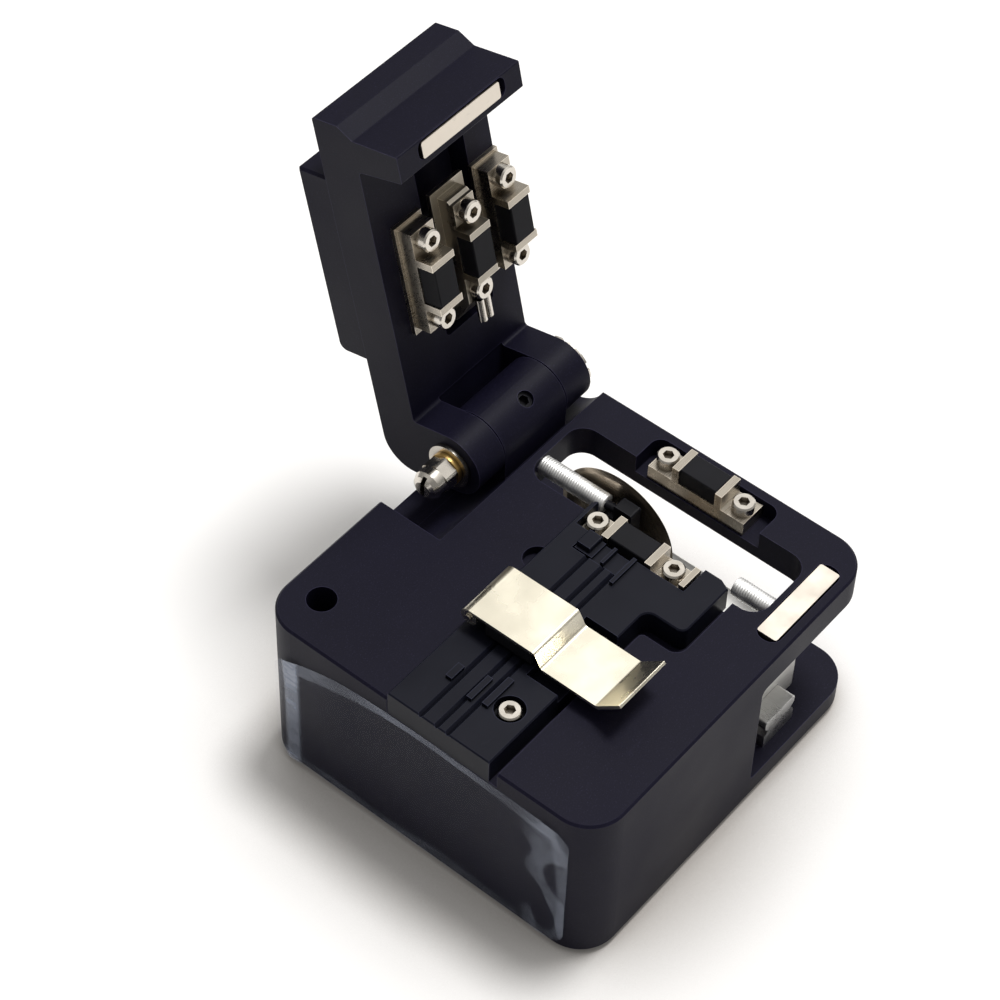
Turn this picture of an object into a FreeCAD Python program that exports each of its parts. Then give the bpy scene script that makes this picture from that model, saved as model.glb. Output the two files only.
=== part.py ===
"""Fibre cleaver: a bench tool that scores and snaps an optical fibre at a right angle.

Frame: X runs along the fibre, +X towards the window and the short fibre end. Y runs from the front
face (-Y) to the lid hinge (+Y). Z is up, and Z = 0 is the plane under the rubber mat. The origin is
the centre of the footprint. Lengths are millimetres. The lid is drawn closed and then swung open,
because open is the rest position.
"""
import FreeCAD, Part
import math
import os

V = FreeCAD.Vector
X_AXIS = V(1, 0, 0)
Y_AXIS = V(0, 1, 0)
Z_AXIS = V(0, 0, 1)

# ---------------------------------------------------------------- body
BODY_W = 63.0            # along X
BODY_D = 59.5            # along Y
BODY_H = 30.0            # underside to deck
BODY_R = 6.0             # plan radius of the rounded corners
EDGE = 0.35              # broken edge round the deck
MAT_H = 0.8              # how far the rubber mat stands below the body
MAT_INSET = 4.0
MAT_R = 3.0
MAT_SINK = 0.5           # depth of the mat's seat in the underside
MAT_CLEAR = 0.1
BASE_T = 3.9             # floor of the C-shaped opening
LIP_T = 5.4              # deck over the opening
BLOCK_X = 5.8            # right face of the full-height block
MOUNT_HOLE_R = 2.2
MOUNT_HOLE_DEPTH = 9.0
MOUNT_HOLE_X = 7.1       # from the left face
MOUNT_HOLE_Y = 5.6       # from the back face

LEFT = -BODY_W / 2
RIGHT = BODY_W / 2
FRONT = -BODY_D / 2
BACK = BODY_D / 2
UNDER = MAT_H
DECK = UNDER + BODY_H
FLOOR = UNDER + BASE_T
ROOF = DECK - LIP_T

# ---------------------------------------------------------------- hinge axis
HINGE_INSET = 4.6        # in front of the back face
HINGE_UP = 2.35          # above the deck
KNUCKLE_R = 5.2
HINGE_Y = BACK - HINGE_INSET
HINGE_Z = DECK + HINGE_UP

# ---------------------------------------------------------------- window in the deck
SLOT_X = 18.2            # centre line
SLOT_REAR_LAND = 7.7     # from the window to the hinge axis
SLOT_BACK = HINGE_Y - SLOT_REAR_LAND
SLOT_W = 12.6
SLOT_FRONT = FRONT + 6.1
SLOT_R = 3.0
SLOT_LEFT = SLOT_X - SLOT_W / 2
SLOT_RIGHT = SLOT_X + SLOT_W / 2

# ---------------------------------------------------------------- fibre line and anvils
FIBRE_Y = FRONT + 26.4
FIBRE_Z = DECK + 2.1     # underside of the fibre on the lower pads
ANVIL_L_X = 10.7
ANVIL_R_X = 27.1
ANVIL_SEAT = 3.2         # depth of both anvil seats below the deck
ANVIL_W = 4.6
ANVIL_L = 17.0
ANVIL_BASE_H = 2.5
JAW_SPAN = 7.6           # between the centres of the two jaws
JAW_T = 1.15
JAW_DROP = 0.12          # jaws stop below the pad
PAD_W = 4.3
PAD_CLEAR = 0.05
GUARD_T = 0.4            # thin wall beside the pad
GUARD_DROP = 0.9
SCREW_SPAN = 13.5        # between the two screws of an anvil
END_TAB_T = 0.9          # upright tab on the front end of the left holder
END_TAB_REACH = 1.6
POCKET_R = 1.8
POCKET_FRONT = FIBRE_Y - 11.5
POCKET_BACK = FIBRE_Y + 10.5
POCKET_RIM = 0.4         # gap between the right anvil and its pocket wall

# ---------------------------------------------------------------- socket screws
HEAD_R = 1.7
HEAD_H = 1.7
HEAD_EDGE = 0.22         # bevel round the top of a head
SHANK_R = 0.85
HEX_AF = 1.5
HEX_DEPTH = 0.9
THREAD_CLEAR = 0.05

# ---------------------------------------------------------------- fibre adapter plate
PLATE_UP = 1.4           # top face above the deck
PLATE_SEAT = 2.9         # pocket depth
PLATE_FRONT = FIBRE_Y - 8.3
PLATE_BACK = FIBRE_Y + 9.4
PLATE_NOSE = PLATE_FRONT - 6.4
PLATE_NOSE_X = 2.4       # where the wide part starts
PLATE_RIGHT = 13.4
PLATE_CLEAR = 0.15
SHADOW_GAP = 1.4         # open gap along the front of the plate
BAY_LEFT = LEFT + 14.5
BAY_RIGHT = BAY_LEFT + 13.1
BAY_DEPTH = 1.6
BAY_BACK = FIBRE_Y - 2.8
GROOVE_Y = (FIBRE_Y - 1.0, FIBRE_Y + 0.9, FIBRE_Y + 3.7)
GROOVE_W = 0.9
GROOVE_DEPTH = 0.45
PLATE_SCREW_X = LEFT + 8.6
PLATE_SCREW_Y = FIBRE_Y - 4.8
COUNTERBORE_R = 2.25
THUMB_X = 0.6            # centre of the half-moon lifting notch
THUMB_R = 2.2
GUIDE_H = 0.6            # guide blocks beside the grooves
COMB_LEFT = 4.4
COMB_FRONT = FIBRE_Y - 1.3
COMB_BACK = FIBRE_Y + 6.4
COMB_GAP = 0.25
COMB_H = 0.9
COMB_DROP = 0.5          # trough of the comb below the plate

# ---------------------------------------------------------------- fibre clip
CLIP_X = LEFT + 20.4
CLIP_W = 9.8
CLIP_T = 0.5
CLIP_PIN_Y = FIBRE_Y + 8.2
CLIP_PIN_Z = DECK + 3.9
CLIP_PIN_R = 0.5
CLIP_BARREL_R = 1.35
CLIP_KNUCKLE_R = 0.78    # post knuckle, inside the rolled leaf
CLIP_RUN_CLEAR = 0.04
CLIP_STEP_Y = CLIP_PIN_Y - 11.3
CLIP_STEP = 2.3          # drop from the upper to the lower panel
CLIP_TAB_Y = CLIP_STEP_Y - 10.8
CLIP_TIP_Y = CLIP_TAB_Y - 3.7
CLIP_TIP_UP = 3.3        # rise of the finger tab
CLIP_POST_W = 4.6
CLIP_PAD_CLEAR = 0.06
CLIP_PAD_L = 8.0

# ---------------------------------------------------------------- lid hinge
SCOOP_R = 7.0
NOTCH_LEFT = -5.75
NOTCH_DROP = 4.7         # notch floor below the deck
TROUGH_DROP = 2.2        # trough in front of the knuckle
KNUCKLE_LEFT = 10.4
KNUCKLE_RIGHT = 24.2
HINGE_GAP = 0.2
PIN_R = 1.6
PIN_CLEAR = 0.03
SET_SCREW_R = 1.3
SET_SCREW_TILT = 30.0    # degrees, leaning to the front

# ---------------------------------------------------------------- lid
LID_OPEN = 102.7         # degrees from closed to the rest position
LID_LEFT = 4.6
LID_RIGHT = 29.8
LID_GAP = 8.5            # inner face above the deck when closed
LID_T = 7.0
LID_FRONT = FRONT - 0.8
BEAK_FACE = FRONT + 0.85
BEAK_BACK = FRONT + 5.1
BEAK_ROOT = FRONT + 5.9
BEAK_GAP = 0.6           # tip above the deck when closed
LID_BACK_R = 5.0
CHANNEL_LEFT = 14.2
CHANNEL_RIGHT = 24.6
CHANNEL_FRONT = FRONT + 9.0
CHANNEL_BACK = HINGE_Y - 13.9
CHANNEL_DEPTH = 3.5
COVER_FRONT = FRONT + 9.5
COVER_BACK = HINGE_Y - 13.2
COVER_H = 5.7
COVER_R = 1.6
COVER_WALL = 1.5
COVER_SEAM = 0.3         # reveal between the cover and the lid's sides
COVER_SCREW_INSET = 4.2

LID_IN = DECK + LID_GAP
LID_TOP = LID_IN + LID_T
PIN_HEAD_H = 1.0

# ---------------------------------------------------------------- magnets
MAGNET_X = 17.9
DECK_MAGNET_L = 15.2
DECK_MAGNET_W = 3.3
DECK_MAGNET_Y = FRONT + 3.35
DECK_MAGNET_T = 1.6
LID_MAGNET_X = 17.2
LID_MAGNET_L = 16.0
LID_MAGNET_W = 2.6
LID_MAGNET_Y = FRONT + 2.6
LID_MAGNET_T = 1.6
LID_MAGNET_SHIFT = 0.35  # the pocket reaches further past the magnet on the right
LID_MAGNET_PLAY = 1.9
MAGNET_PROUD = 0.2
MAGNET_ROOM = 0.25       # play between a magnet and its pocket

# ---------------------------------------------------------------- blade and slider
TRAVEL = 18.0
BLADE_X = 18.3           # mid plane of the disc
BLADE_R = 10.0
BLADE_T = 0.5
BLADE_BEVEL = 0.9
BLADE_BORE_R = 2.5
BLADE_Y = FIBRE_Y + 8.6
BLADE_Z = FIBRE_Z - 0.1 - BLADE_R
HUB_R = 3.8
HUB_T = 0.6
INDEX_COUNT = 16         # positions that the blade can be turned to
INDEX_W = 0.4
INDEX_DEPTH = 0.3
LOCK_R = 3.0             # head of the blade's lock screw
LOCK_T = 1.5
LOCK_SHANK_R = 1.2
BORE_CLEAR = 0.03
CARRIAGE_LEFT = 7.0
CARRIAGE_RIGHT = 23.1
CARRIAGE_FRONT = FRONT + 5.0
CARRIAGE_BACK = HINGE_Y - 10.9
CARRIAGE_LIFT = 1.1      # gap between the carriage and the floor
CARRIAGE_TOP = UNDER + 17.0
BLADE_SLOT_W = 1.7
BLADE_SLOT_ROOM = 1.0    # radial room round the blade in its slot
RAIL_X = (CARRIAGE_LEFT + CARRIAGE_RIGHT) / 2
RAIL_W = 7.0
RAIL_H = 5.4
RAIL_FRONT = FRONT + 2.0
RAIL_BACK = BACK - 2.5
RAIL_GROOVE_R = 0.9
RAIL_CLEAR = 0.08
BRACKET_T = 2.6
BRACKET_FOOT_T = 2.4
BRACKET_FOOT_L = 13.0
BRACKET_FOOT_W = 8.0
LUG_W = 2.2
LUG_L = 3.2
LUG_END = 5.0            # from the front of the lug to the tip of its bumper
BUMPER_R = 0.7
LUG_FRONT = BLADE_Y - 4.4
LUG_TOP = DECK - 0.3
STOP_X = 16.1
STOP_Z = DECK - 2.0
STOP_R = 1.5
STOP_SINK = 0.8
STOP_CLEAR = 0.05

# ---------------------------------------------------------------- press arm in the lid
ARM_X = 18.5
ARM_W = 4.2
ARM_PIN_Y = FIBRE_Y + 11.3
ARM_PIN_DEPTH = 1.2      # pin axis above the lid's inner face, inside the channel
ARM_PIN_R = 0.75
ARM_BASE_H = 2.3
ARM_SEAT_T = 0.5         # raised square seat under the front screw
ARM_SEAT_L = 3.6
ARM_FRONT = FIBRE_Y - 8.9
ARM_SWING = 2.0          # degrees the pad can be pushed back
ARM_LEAF_W = 6.8
ARM_LEAF_FRONT = FIBRE_Y - 10.1
ARM_LEAF_T = 0.7
DOWEL_R = 0.65
DOWEL_L = 3.8
CLAMP_SPACER_T = 0.7
CLAMP_SPACER_W = 5.6
CLAMP_SPACER_L = 19.0
PAD_GAP = 0.15           # between upper and lower pads when closed
ARM_PAD_LOW = 0.1        # the press pad reaches this much lower than the clamp pads

PARTS = "parts"


# ================================================================ drawing helpers
def outline(points, place):
    """Closed wire through (a, b) or (a, b, radius) corners, each radius a tangent arc."""
    count = len(points)
    ends = []
    for i, corner in enumerate(points):
        here = V(corner[0], corner[1], 0)
        radius = corner[2] if len(corner) > 2 else 0.0
        if radius <= 0:
            ends.append((here, None, here))
            continue
        before = points[i - 1]
        after = points[(i + 1) % count]
        to_before = (V(before[0], before[1], 0) - here).normalize()
        to_after = (V(after[0], after[1], 0) - here).normalize()
        half = to_before.getAngle(to_after) / 2
        reach = radius / math.tan(half)
        bisector = (to_before + to_after).normalize()
        middle = here + bisector * (radius / math.sin(half) - radius)
        ends.append((here + to_before * reach, middle, here + to_after * reach))
    edges = []
    for i, (start, middle, end) in enumerate(ends):
        if middle is not None:
            arc = Part.Arc(place(start), place(middle), place(end))
            edges.append(arc.toShape())
        following = ends[(i + 1) % count][0]
        if (following - end).Length > 1e-6:
            edges.append(Part.LineSegment(place(end), place(following)).toShape())
    return Part.Wire(edges)


def plan(points, z0, z1):
    """Upright prism on an outline drawn in X and Y."""
    face = Part.Face(outline(points, lambda p: V(p.x, p.y, z0)))
    return face.extrude(V(0, 0, z1 - z0))


def side(points, x0, x1):
    """Prism along X on an outline drawn in Y and Z."""
    face = Part.Face(outline(points, lambda p: V(x0, p.x, p.y)))
    return face.extrude(V(x1 - x0, 0, 0))


def front(points, y0, y1):
    """Prism along Y on an outline drawn in X and Z."""
    face = Part.Face(outline(points, lambda p: V(p.x, y0, p.y)))
    return face.extrude(V(0, y1 - y0, 0))


def box(x0, x1, y0, y1, z0, z1):
    return Part.makeBox(x1 - x0, y1 - y0, z1 - z0, V(x0, y0, z0))


def rod(radius, start, end):
    run = end - start
    return Part.makeCylinder(radius, run.Length, start, run)


def slot_plan(cx, cy, length, width, radius, z0, z1):
    """Rounded rectangle centred on (cx, cy), long along X."""
    a = length / 2
    b = width / 2
    corners = [(cx - a, cy - b, radius), (cx + a, cy - b, radius), (cx + a, cy + b, radius), (cx - a, cy + b, radius)]
    return plan(corners, z0, z1)


def hexagon(across, start, end):
    """Hexagonal prism between two points."""
    run = end - start
    shape = Part.Face(Part.makePolygon([V(across / math.sqrt(3) * math.cos(math.radians(a)),
                                          across / math.sqrt(3) * math.sin(math.radians(a)), 0)
                                        for a in range(0, 361, 60)])).extrude(V(0, 0, run.Length))
    shape.Placement = FreeCAD.Placement(start, FreeCAD.Rotation(Z_AXIS, run))
    return shape


def socket_screw(seat, direction, shank):
    """Socket head cap screw: head above the seat point, shank along direction."""
    out = V(direction).normalize() * -1
    head = rod(HEAD_R, seat, seat + out * (HEAD_H - HEAD_EDGE))
    crown = Part.makeCone(HEAD_R, HEAD_R - HEAD_EDGE, HEAD_EDGE, seat + out * (HEAD_H - HEAD_EDGE), out)
    body = head.fuse([crown, rod(SHANK_R, seat, seat - out * shank)])
    return body.cut(hexagon(HEX_AF, seat + out * (HEAD_H - HEX_DEPTH), seat + out * (HEAD_H + 0.1)))


def swing_open(shape):
    """Turn a shape drawn in the closed lid into the rest position."""
    turned = shape.copy()
    turned.rotate(V(0, HINGE_Y, HINGE_Z), X_AXIS, -LID_OPEN)
    return turned


def group(shapes):
    return Part.makeCompound(shapes)


# ================================================================ body
def anvil_screw_seats(x, seat_z):
    return [V(x, FIBRE_Y + s * SCREW_SPAN / 2, seat_z) for s in (-1, 1)]


def hinge_ring(x0, x1, radius=KNUCKLE_R):
    return rod(radius, V(x0, HINGE_Y, HINGE_Z), V(x1, HINGE_Y, HINGE_Z))


def set_screw_line():
    tilt = math.radians(SET_SCREW_TILT)
    out = V(0, -math.sin(tilt), math.cos(tilt))
    foot = V((KNUCKLE_LEFT + KNUCKLE_RIGHT) / 2 + 0.6, HINGE_Y, HINGE_Z)
    return foot, out


def hinge_mount():
    """Knuckle of the body with its web, standing in the hinge notch."""
    top = HINGE_Z
    low = DECK - TROUGH_DROP
    web = side([(HINGE_Y - KNUCKLE_R, low - 0.01), (BACK, low - 0.01), (BACK, top), (HINGE_Y - KNUCKLE_R, top)],
               KNUCKLE_LEFT, KNUCKLE_RIGHT)
    sole = box(KNUCKLE_LEFT, KNUCKLE_RIGHT, SLOT_BACK + 0.2, BACK, ROOF, low)
    ring = hinge_ring(KNUCKLE_LEFT, KNUCKLE_RIGHT)
    return ring.fuse([web, sole])


def adapter_pocket():
    """Seat of the fibre adapter plate, open at the left face and into the window."""
    corners = [(LEFT - 1, PLATE_FRONT - SHADOW_GAP), (PLATE_NOSE_X - 2.8, PLATE_FRONT - SHADOW_GAP, 0.8),
               (PLATE_NOSE_X - 2.8, PLATE_NOSE - SHADOW_GAP, 2.0), (SLOT_LEFT + 0.6, PLATE_NOSE - SHADOW_GAP),
               (SLOT_LEFT + 0.6, PLATE_BACK + PLATE_CLEAR), (LEFT - 1, PLATE_BACK + PLATE_CLEAR)]
    pocket = plan(corners, DECK - PLATE_SEAT, DECK + 1)
    thumb = rod(THUMB_R, V(THUMB_X, PLATE_BACK, DECK - PLATE_SEAT / 2), V(THUMB_X, PLATE_BACK, DECK + 1))
    return pocket.fuse(thumb)


def body_frame():
    corners = [(LEFT, FRONT, BODY_R), (RIGHT, FRONT, BODY_R), (RIGHT, BACK), (LEFT, BACK, BODY_R)]
    block = plan(corners, UNDER, DECK)
    rims = [e for e in block.Edges if abs(e.CenterOfMass.z - DECK) < 1e-6 or abs(e.CenterOfMass.z - UNDER) < 1e-6]
    block = block.makeChamfer(EDGE, rims)
    opening = front([(BLOCK_X, FLOOR, 0.6), (RIGHT + 2, FLOOR), (RIGHT + 2, ROOF), (BLOCK_X, ROOF, 1.2)],
                    FRONT - 1, BACK + 1)
    scoop = hinge_ring(NOTCH_LEFT, RIGHT + 1, SCOOP_R)
    notch = box(NOTCH_LEFT, RIGHT + 1, HINGE_Y, BACK + 1, DECK - NOTCH_DROP, DECK + 1)
    block = block.cut([opening, scoop.fuse(notch)])
    block = block.fuse(hinge_mount())
    window = slot_plan(SLOT_X, (SLOT_FRONT + SLOT_BACK) / 2, SLOT_W, SLOT_BACK - SLOT_FRONT, SLOT_R, ROOF - 1, DECK + 1)
    outer = ANVIL_R_X + ANVIL_W / 2 + POCKET_RIM
    rim_pocket = plan([(SLOT_RIGHT - 1, POCKET_FRONT), (outer, POCKET_FRONT, POCKET_R), (outer, POCKET_BACK, POCKET_R),
                       (SLOT_RIGHT - 1, POCKET_BACK)], DECK - ANVIL_SEAT, DECK + 1)
    magnet = slot_plan(MAGNET_X, DECK_MAGNET_Y, DECK_MAGNET_L + 1.4, DECK_MAGNET_W + 2 * MAGNET_ROOM, 1.7,
                       DECK + MAGNET_PROUD - DECK_MAGNET_T, DECK + 1)
    cuts = [window, rim_pocket, adapter_pocket(), magnet]
    hole = V(LEFT + MOUNT_HOLE_X, BACK - MOUNT_HOLE_Y, DECK + 1)
    cuts.append(rod(MOUNT_HOLE_R, hole - V(0, 0, MOUNT_HOLE_DEPTH + 1), hole))
    cuts.append(rod(PIN_R, V(KNUCKLE_LEFT - 1, HINGE_Y, HINGE_Z), V(KNUCKLE_RIGHT + 1, HINGE_Y, HINGE_Z)))
    foot, out = set_screw_line()
    cuts.append(rod(SET_SCREW_R, foot, foot + out * (KNUCKLE_R + 1)))
    for seat in anvil_screw_seats(ANVIL_R_X, DECK - ANVIL_SEAT):
        cuts.append(rod(SHANK_R + THREAD_CLEAR, seat - V(0, 0, 2.0), seat))
    for seat in anvil_screw_seats(ANVIL_L_X, DECK - PLATE_SEAT):
        cuts.append(rod(SHANK_R + THREAD_CLEAR, seat - V(0, 0, 2.0), seat))
    cuts.append(rod(SHANK_R + THREAD_CLEAR, V(PLATE_SCREW_X, PLATE_SCREW_Y, DECK - PLATE_SEAT - 5),
                    V(PLATE_SCREW_X, PLATE_SCREW_Y, DECK)))
    cuts.append(rod(STOP_R, V(STOP_X, SLOT_BACK - 1, STOP_Z), V(STOP_X, SLOT_BACK + STOP_SINK, STOP_Z)))
    cuts.append(rod(STOP_R, V(STOP_X, SLOT_FRONT - STOP_SINK, STOP_Z), V(STOP_X, SLOT_FRONT + 1, STOP_Z)))
    cuts.append(mat_outline(MAT_CLEAR, UNDER - 1, UNDER + MAT_SINK))
    for y in rail_screw_places():
        cuts.append(rod(SHANK_R + THREAD_CLEAR, V(RAIL_X, y, FLOOR - 2.6), V(RAIL_X, y, FLOOR)))
    return block.cut(cuts)


def mat_outline(grow, z0, z1):
    length = BODY_W - 2 * MAT_INSET + 2 * grow
    width = BODY_D - 2 * MAT_INSET + 2 * grow
    return slot_plan(0, 0, length, width, MAT_R + grow, z0, z1)


def rubber_mat():
    return mat_outline(0.0, 0, UNDER + MAT_SINK)


FILM_T = 0.12
FILM_TOP = 2.6           # below the deck
FILM_LOW = 0.6           # above the underside
FILM_WRAP_BACK = 40.0    # degrees that the film follows round the back corner
FILM_WRAP_FRONT = 16.0


def protective_film():
    """Clear film on the left face, following the rounded corner at each end."""
    z0 = UNDER + FILM_LOW

    def ring(way, radius, degrees):
        turn = math.radians(degrees)
        y = way * (BACK - BODY_R + radius * math.sin(turn))
        return V(LEFT + BODY_R - radius * math.cos(turn), y, z0)

    edges = []
    skins = []
    for radius in (BODY_R, BODY_R + FILM_T):
        near = [ring(-1, radius, FILM_WRAP_FRONT * f) for f in (1, 0.5, 0)]
        far = [ring(1, radius, FILM_WRAP_BACK * f) for f in (0, 0.5, 1)]
        edges.append(Part.Arc(*near).toShape())
        edges.append(Part.LineSegment(near[2], far[0]).toShape())
        edges.append(Part.Arc(*far).toShape())
        skins.append((near[0], far[2]))
    for end in (0, 1):
        edges.append(Part.LineSegment(skins[0][end], skins[1][end]).toShape())
    wire = Part.Wire(Part.__sortEdges__(edges))
    return Part.Face(wire).extrude(V(0, 0, DECK - FILM_TOP - z0))


def deck_magnet():
    top = DECK + MAGNET_PROUD
    return slot_plan(MAGNET_X, DECK_MAGNET_Y, DECK_MAGNET_L, DECK_MAGNET_W, 0.35, top - DECK_MAGNET_T, top)


# ================================================================ anvils, shared by deck and lid
def anvil_holder(x, seat_z, up, height):
    """Holder with two jaws; up is +1 on the deck and -1 in the lid, height is seat to pad face."""
    def level(h):
        return seat_z + up * h

    base_low, base_high = sorted((level(0), level(ANVIL_BASE_H)))
    y0 = FIBRE_Y - ANVIL_L / 2
    y1 = FIBRE_Y + ANVIL_L / 2
    holder = box(x - ANVIL_W / 2, x + ANVIL_W / 2, y0, y1, base_low, base_high)
    for s in (-1, 1):
        jaw = sorted((level(ANVIL_BASE_H) - up * 0.01, level(height - JAW_DROP)))
        middle = FIBRE_Y + s * JAW_SPAN / 2
        holder = holder.fuse(box(x - ANVIL_W / 2, x + ANVIL_W / 2, middle - JAW_T / 2, middle + JAW_T / 2, *jaw))
        hole = V(x, FIBRE_Y + s * SCREW_SPAN / 2, level(-0.5))
        holder = holder.cut(rod(SHANK_R + THREAD_CLEAR, hole, hole + V(0, 0, up * (ANVIL_BASE_H + 1))))
    guard = sorted((level(ANVIL_BASE_H) - up * 0.01, level(height - GUARD_DROP)))
    span = (JAW_SPAN - JAW_T) / 2 + 0.01
    holder = holder.fuse(box(x + ANVIL_W / 2 - GUARD_T, x + ANVIL_W / 2, FIBRE_Y - span, FIBRE_Y + span, *guard))
    return holder.removeSplitter()


def anvil_pad(x, seat_z, up, height):
    """Rubber block between the jaws."""
    half = (JAW_SPAN - JAW_T) / 2 - PAD_CLEAR
    low, high = sorted((seat_z + up * ANVIL_BASE_H, seat_z + up * height))
    right = x + ANVIL_W / 2 - GUARD_T - PAD_CLEAR
    pad = box(right - PAD_W + GUARD_T, right, FIBRE_Y - half, FIBRE_Y + half, low, high)
    crown = [e for e in pad.Edges if abs(e.CenterOfMass.z - (seat_z + up * height)) < 1e-6]
    return pad.makeChamfer(0.12, crown)


def right_anvil_holder():
    return anvil_holder(ANVIL_R_X, DECK - ANVIL_SEAT, 1, FIBRE_Z - DECK + ANVIL_SEAT)


def right_anvil_pad():
    return anvil_pad(ANVIL_R_X, DECK - ANVIL_SEAT, 1, FIBRE_Z - DECK + ANVIL_SEAT)


def right_anvil_screws():
    seats = anvil_screw_seats(ANVIL_R_X, DECK - ANVIL_SEAT + ANVIL_BASE_H)
    return group([socket_screw(s, V(0, 0, -1), ANVIL_BASE_H + 1.8) for s in seats])


def left_anvil_holder():
    """The left holder runs on past its front screw and ends in an upright tab."""
    seat_z = DECK - PLATE_SEAT
    x0 = ANVIL_L_X - ANVIL_W / 2
    x1 = ANVIL_L_X + ANVIL_W / 2
    y1 = FIBRE_Y - ANVIL_L / 2
    y0 = y1 - END_TAB_REACH
    tab = side([(y0, seat_z), (y1 + 0.01, seat_z), (y1 + 0.01, seat_z + ANVIL_BASE_H),
                (y0 + END_TAB_T, seat_z + ANVIL_BASE_H, 0.3), (y0 + END_TAB_T, FIBRE_Z - JAW_DROP),
                (y0, FIBRE_Z - JAW_DROP)], x0, x1 - 0.6)
    holder = anvil_holder(ANVIL_L_X, seat_z, 1, FIBRE_Z - seat_z)
    return holder.fuse(tab).removeSplitter()


def left_anvil_pad():
    return anvil_pad(ANVIL_L_X, DECK - PLATE_SEAT, 1, FIBRE_Z - DECK + PLATE_SEAT)


def left_anvil_screws():
    seats = anvil_screw_seats(ANVIL_L_X, DECK - PLATE_SEAT + ANVIL_BASE_H)
    return group([socket_screw(s, V(0, 0, -1), ANVIL_BASE_H + 1.8) for s in seats])


# ================================================================ fibre adapter plate

def fibre_adapter_plate():
    low = DECK - PLATE_SEAT
    high = DECK + PLATE_UP
    corners = [(LEFT, PLATE_FRONT), (PLATE_NOSE_X, PLATE_FRONT, 1.6), (PLATE_NOSE_X, PLATE_NOSE, 1.2),
               (PLATE_RIGHT - 0.8, PLATE_NOSE), (PLATE_RIGHT, PLATE_NOSE + 1.7), (PLATE_RIGHT, PLATE_BACK, 0.8),
               (LEFT, PLATE_BACK)]
    plate = plan(corners, low, high)
    rims = [e for e in plate.Edges if abs(e.CenterOfMass.z - high) < 1e-6]
    plate = plate.makeChamfer(0.2, rims)
    cuts = [box(ANVIL_L_X - ANVIL_W / 2 - 0.2, PLATE_RIGHT + 1, FIBRE_Y - ANVIL_L / 2 - END_TAB_REACH - 0.2,
                FIBRE_Y + ANVIL_L / 2 + 0.2, low - 1, high + 1)]
    cuts.append(box(BAY_LEFT, BAY_RIGHT, PLATE_FRONT - 1, BAY_BACK, high - BAY_DEPTH, high + 1))
    cuts.append(box(COMB_LEFT, ANVIL_L_X, COMB_FRONT, COMB_BACK, high - BAY_DEPTH, high + 1))
    for y in GROOVE_Y:
        vee = [(y - GROOVE_W / 2, high + 0.01), (y + GROOVE_W / 2, high + 0.01), (y, high - GROOVE_DEPTH)]
        cuts.append(side(vee, LEFT - 1, ANVIL_L_X))
    head = V(PLATE_SCREW_X, PLATE_SCREW_Y, high - HEAD_H - 0.1)
    cuts.append(rod(COUNTERBORE_R, head, head + V(0, 0, 3)))
    cuts.append(rod(SHANK_R + THREAD_CLEAR, head - V(0, 0, 6), head))
    plate = plate.cut(cuts)
    guides = [(LEFT + 7.1, LEFT + 9.8, GROOVE_Y[2] + 0.4, GROOVE_Y[2] + 1.5),
              (LEFT + 6.2, LEFT + 10.7, GROOVE_Y[1] - 1.0, GROOVE_Y[1] - 0.1),
              (LEFT + 6.7, LEFT + 12.3, GROOVE_Y[0] - 1.5, GROOVE_Y[0] - 0.5),
              (COMB_LEFT - 1.8, ANVIL_L_X - ANVIL_W / 2 - 0.3, COMB_FRONT - 0.9, COMB_FRONT - 0.3)]
    guides = [box(*place, high - 0.01, high + GUIDE_H) for place in guides]
    return plate.fuse(guides + [clip_post()]).removeSplitter()


def clip_post():
    """Post with the middle knuckle that carries the clip's pin, under the clip's leaf."""
    x0 = CLIP_X - CLIP_POST_W / 2
    x1 = CLIP_X + CLIP_POST_W / 2
    top = DECK + PLATE_UP
    post = box(x0, x1, CLIP_PIN_Y - 1.3, CLIP_PIN_Y - 0.15, top - 0.01, CLIP_PIN_Z)
    knuckle = rod(CLIP_KNUCKLE_R, V(x0, CLIP_PIN_Y, CLIP_PIN_Z), V(x1, CLIP_PIN_Y, CLIP_PIN_Z))
    bore = rod(CLIP_PIN_R, V(x0 - 1, CLIP_PIN_Y, CLIP_PIN_Z), V(x1 + 1, CLIP_PIN_Y, CLIP_PIN_Z))
    return post.fuse(knuckle).cut(bore)


def fibre_guide_comb():
    """Comb beside the left anvil that lines the fibre up with the pads."""
    x0 = COMB_LEFT + COMB_GAP
    x1 = ANVIL_L_X - ANVIL_W / 2 - COMB_GAP - 0.2
    y0 = COMB_FRONT + COMB_GAP
    y1 = COMB_BACK - COMB_GAP
    low = DECK + PLATE_UP - BAY_DEPTH
    top = DECK + PLATE_UP
    floor = top - COMB_DROP
    block_y = GROOVE_Y[2] + 0.1
    comb = side([(y0, low), (y1, low), (y1, top + COMB_H, 0.2), (block_y, top + COMB_H, 0.2), (block_y, top),
                 (block_y - 0.7, top), (block_y - 0.7, floor), (GROOVE_Y[1] + 0.7, floor),
                 (GROOVE_Y[1] + 0.7, top + 0.4), (GROOVE_Y[1] + 0.2, top + 0.4), (GROOVE_Y[1] + 0.2, floor),
                 (y0, floor)], x0, x1)
    return comb.cut(box(x0 - 1, x0 + 0.5, block_y, y1 + 1, top, top + COMB_H + 1))


def adapter_screw():
    seat = V(PLATE_SCREW_X, PLATE_SCREW_Y, DECK + PLATE_UP - HEAD_H - 0.1)
    return socket_screw(seat, V(0, 0, -1), 6.0)


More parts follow.
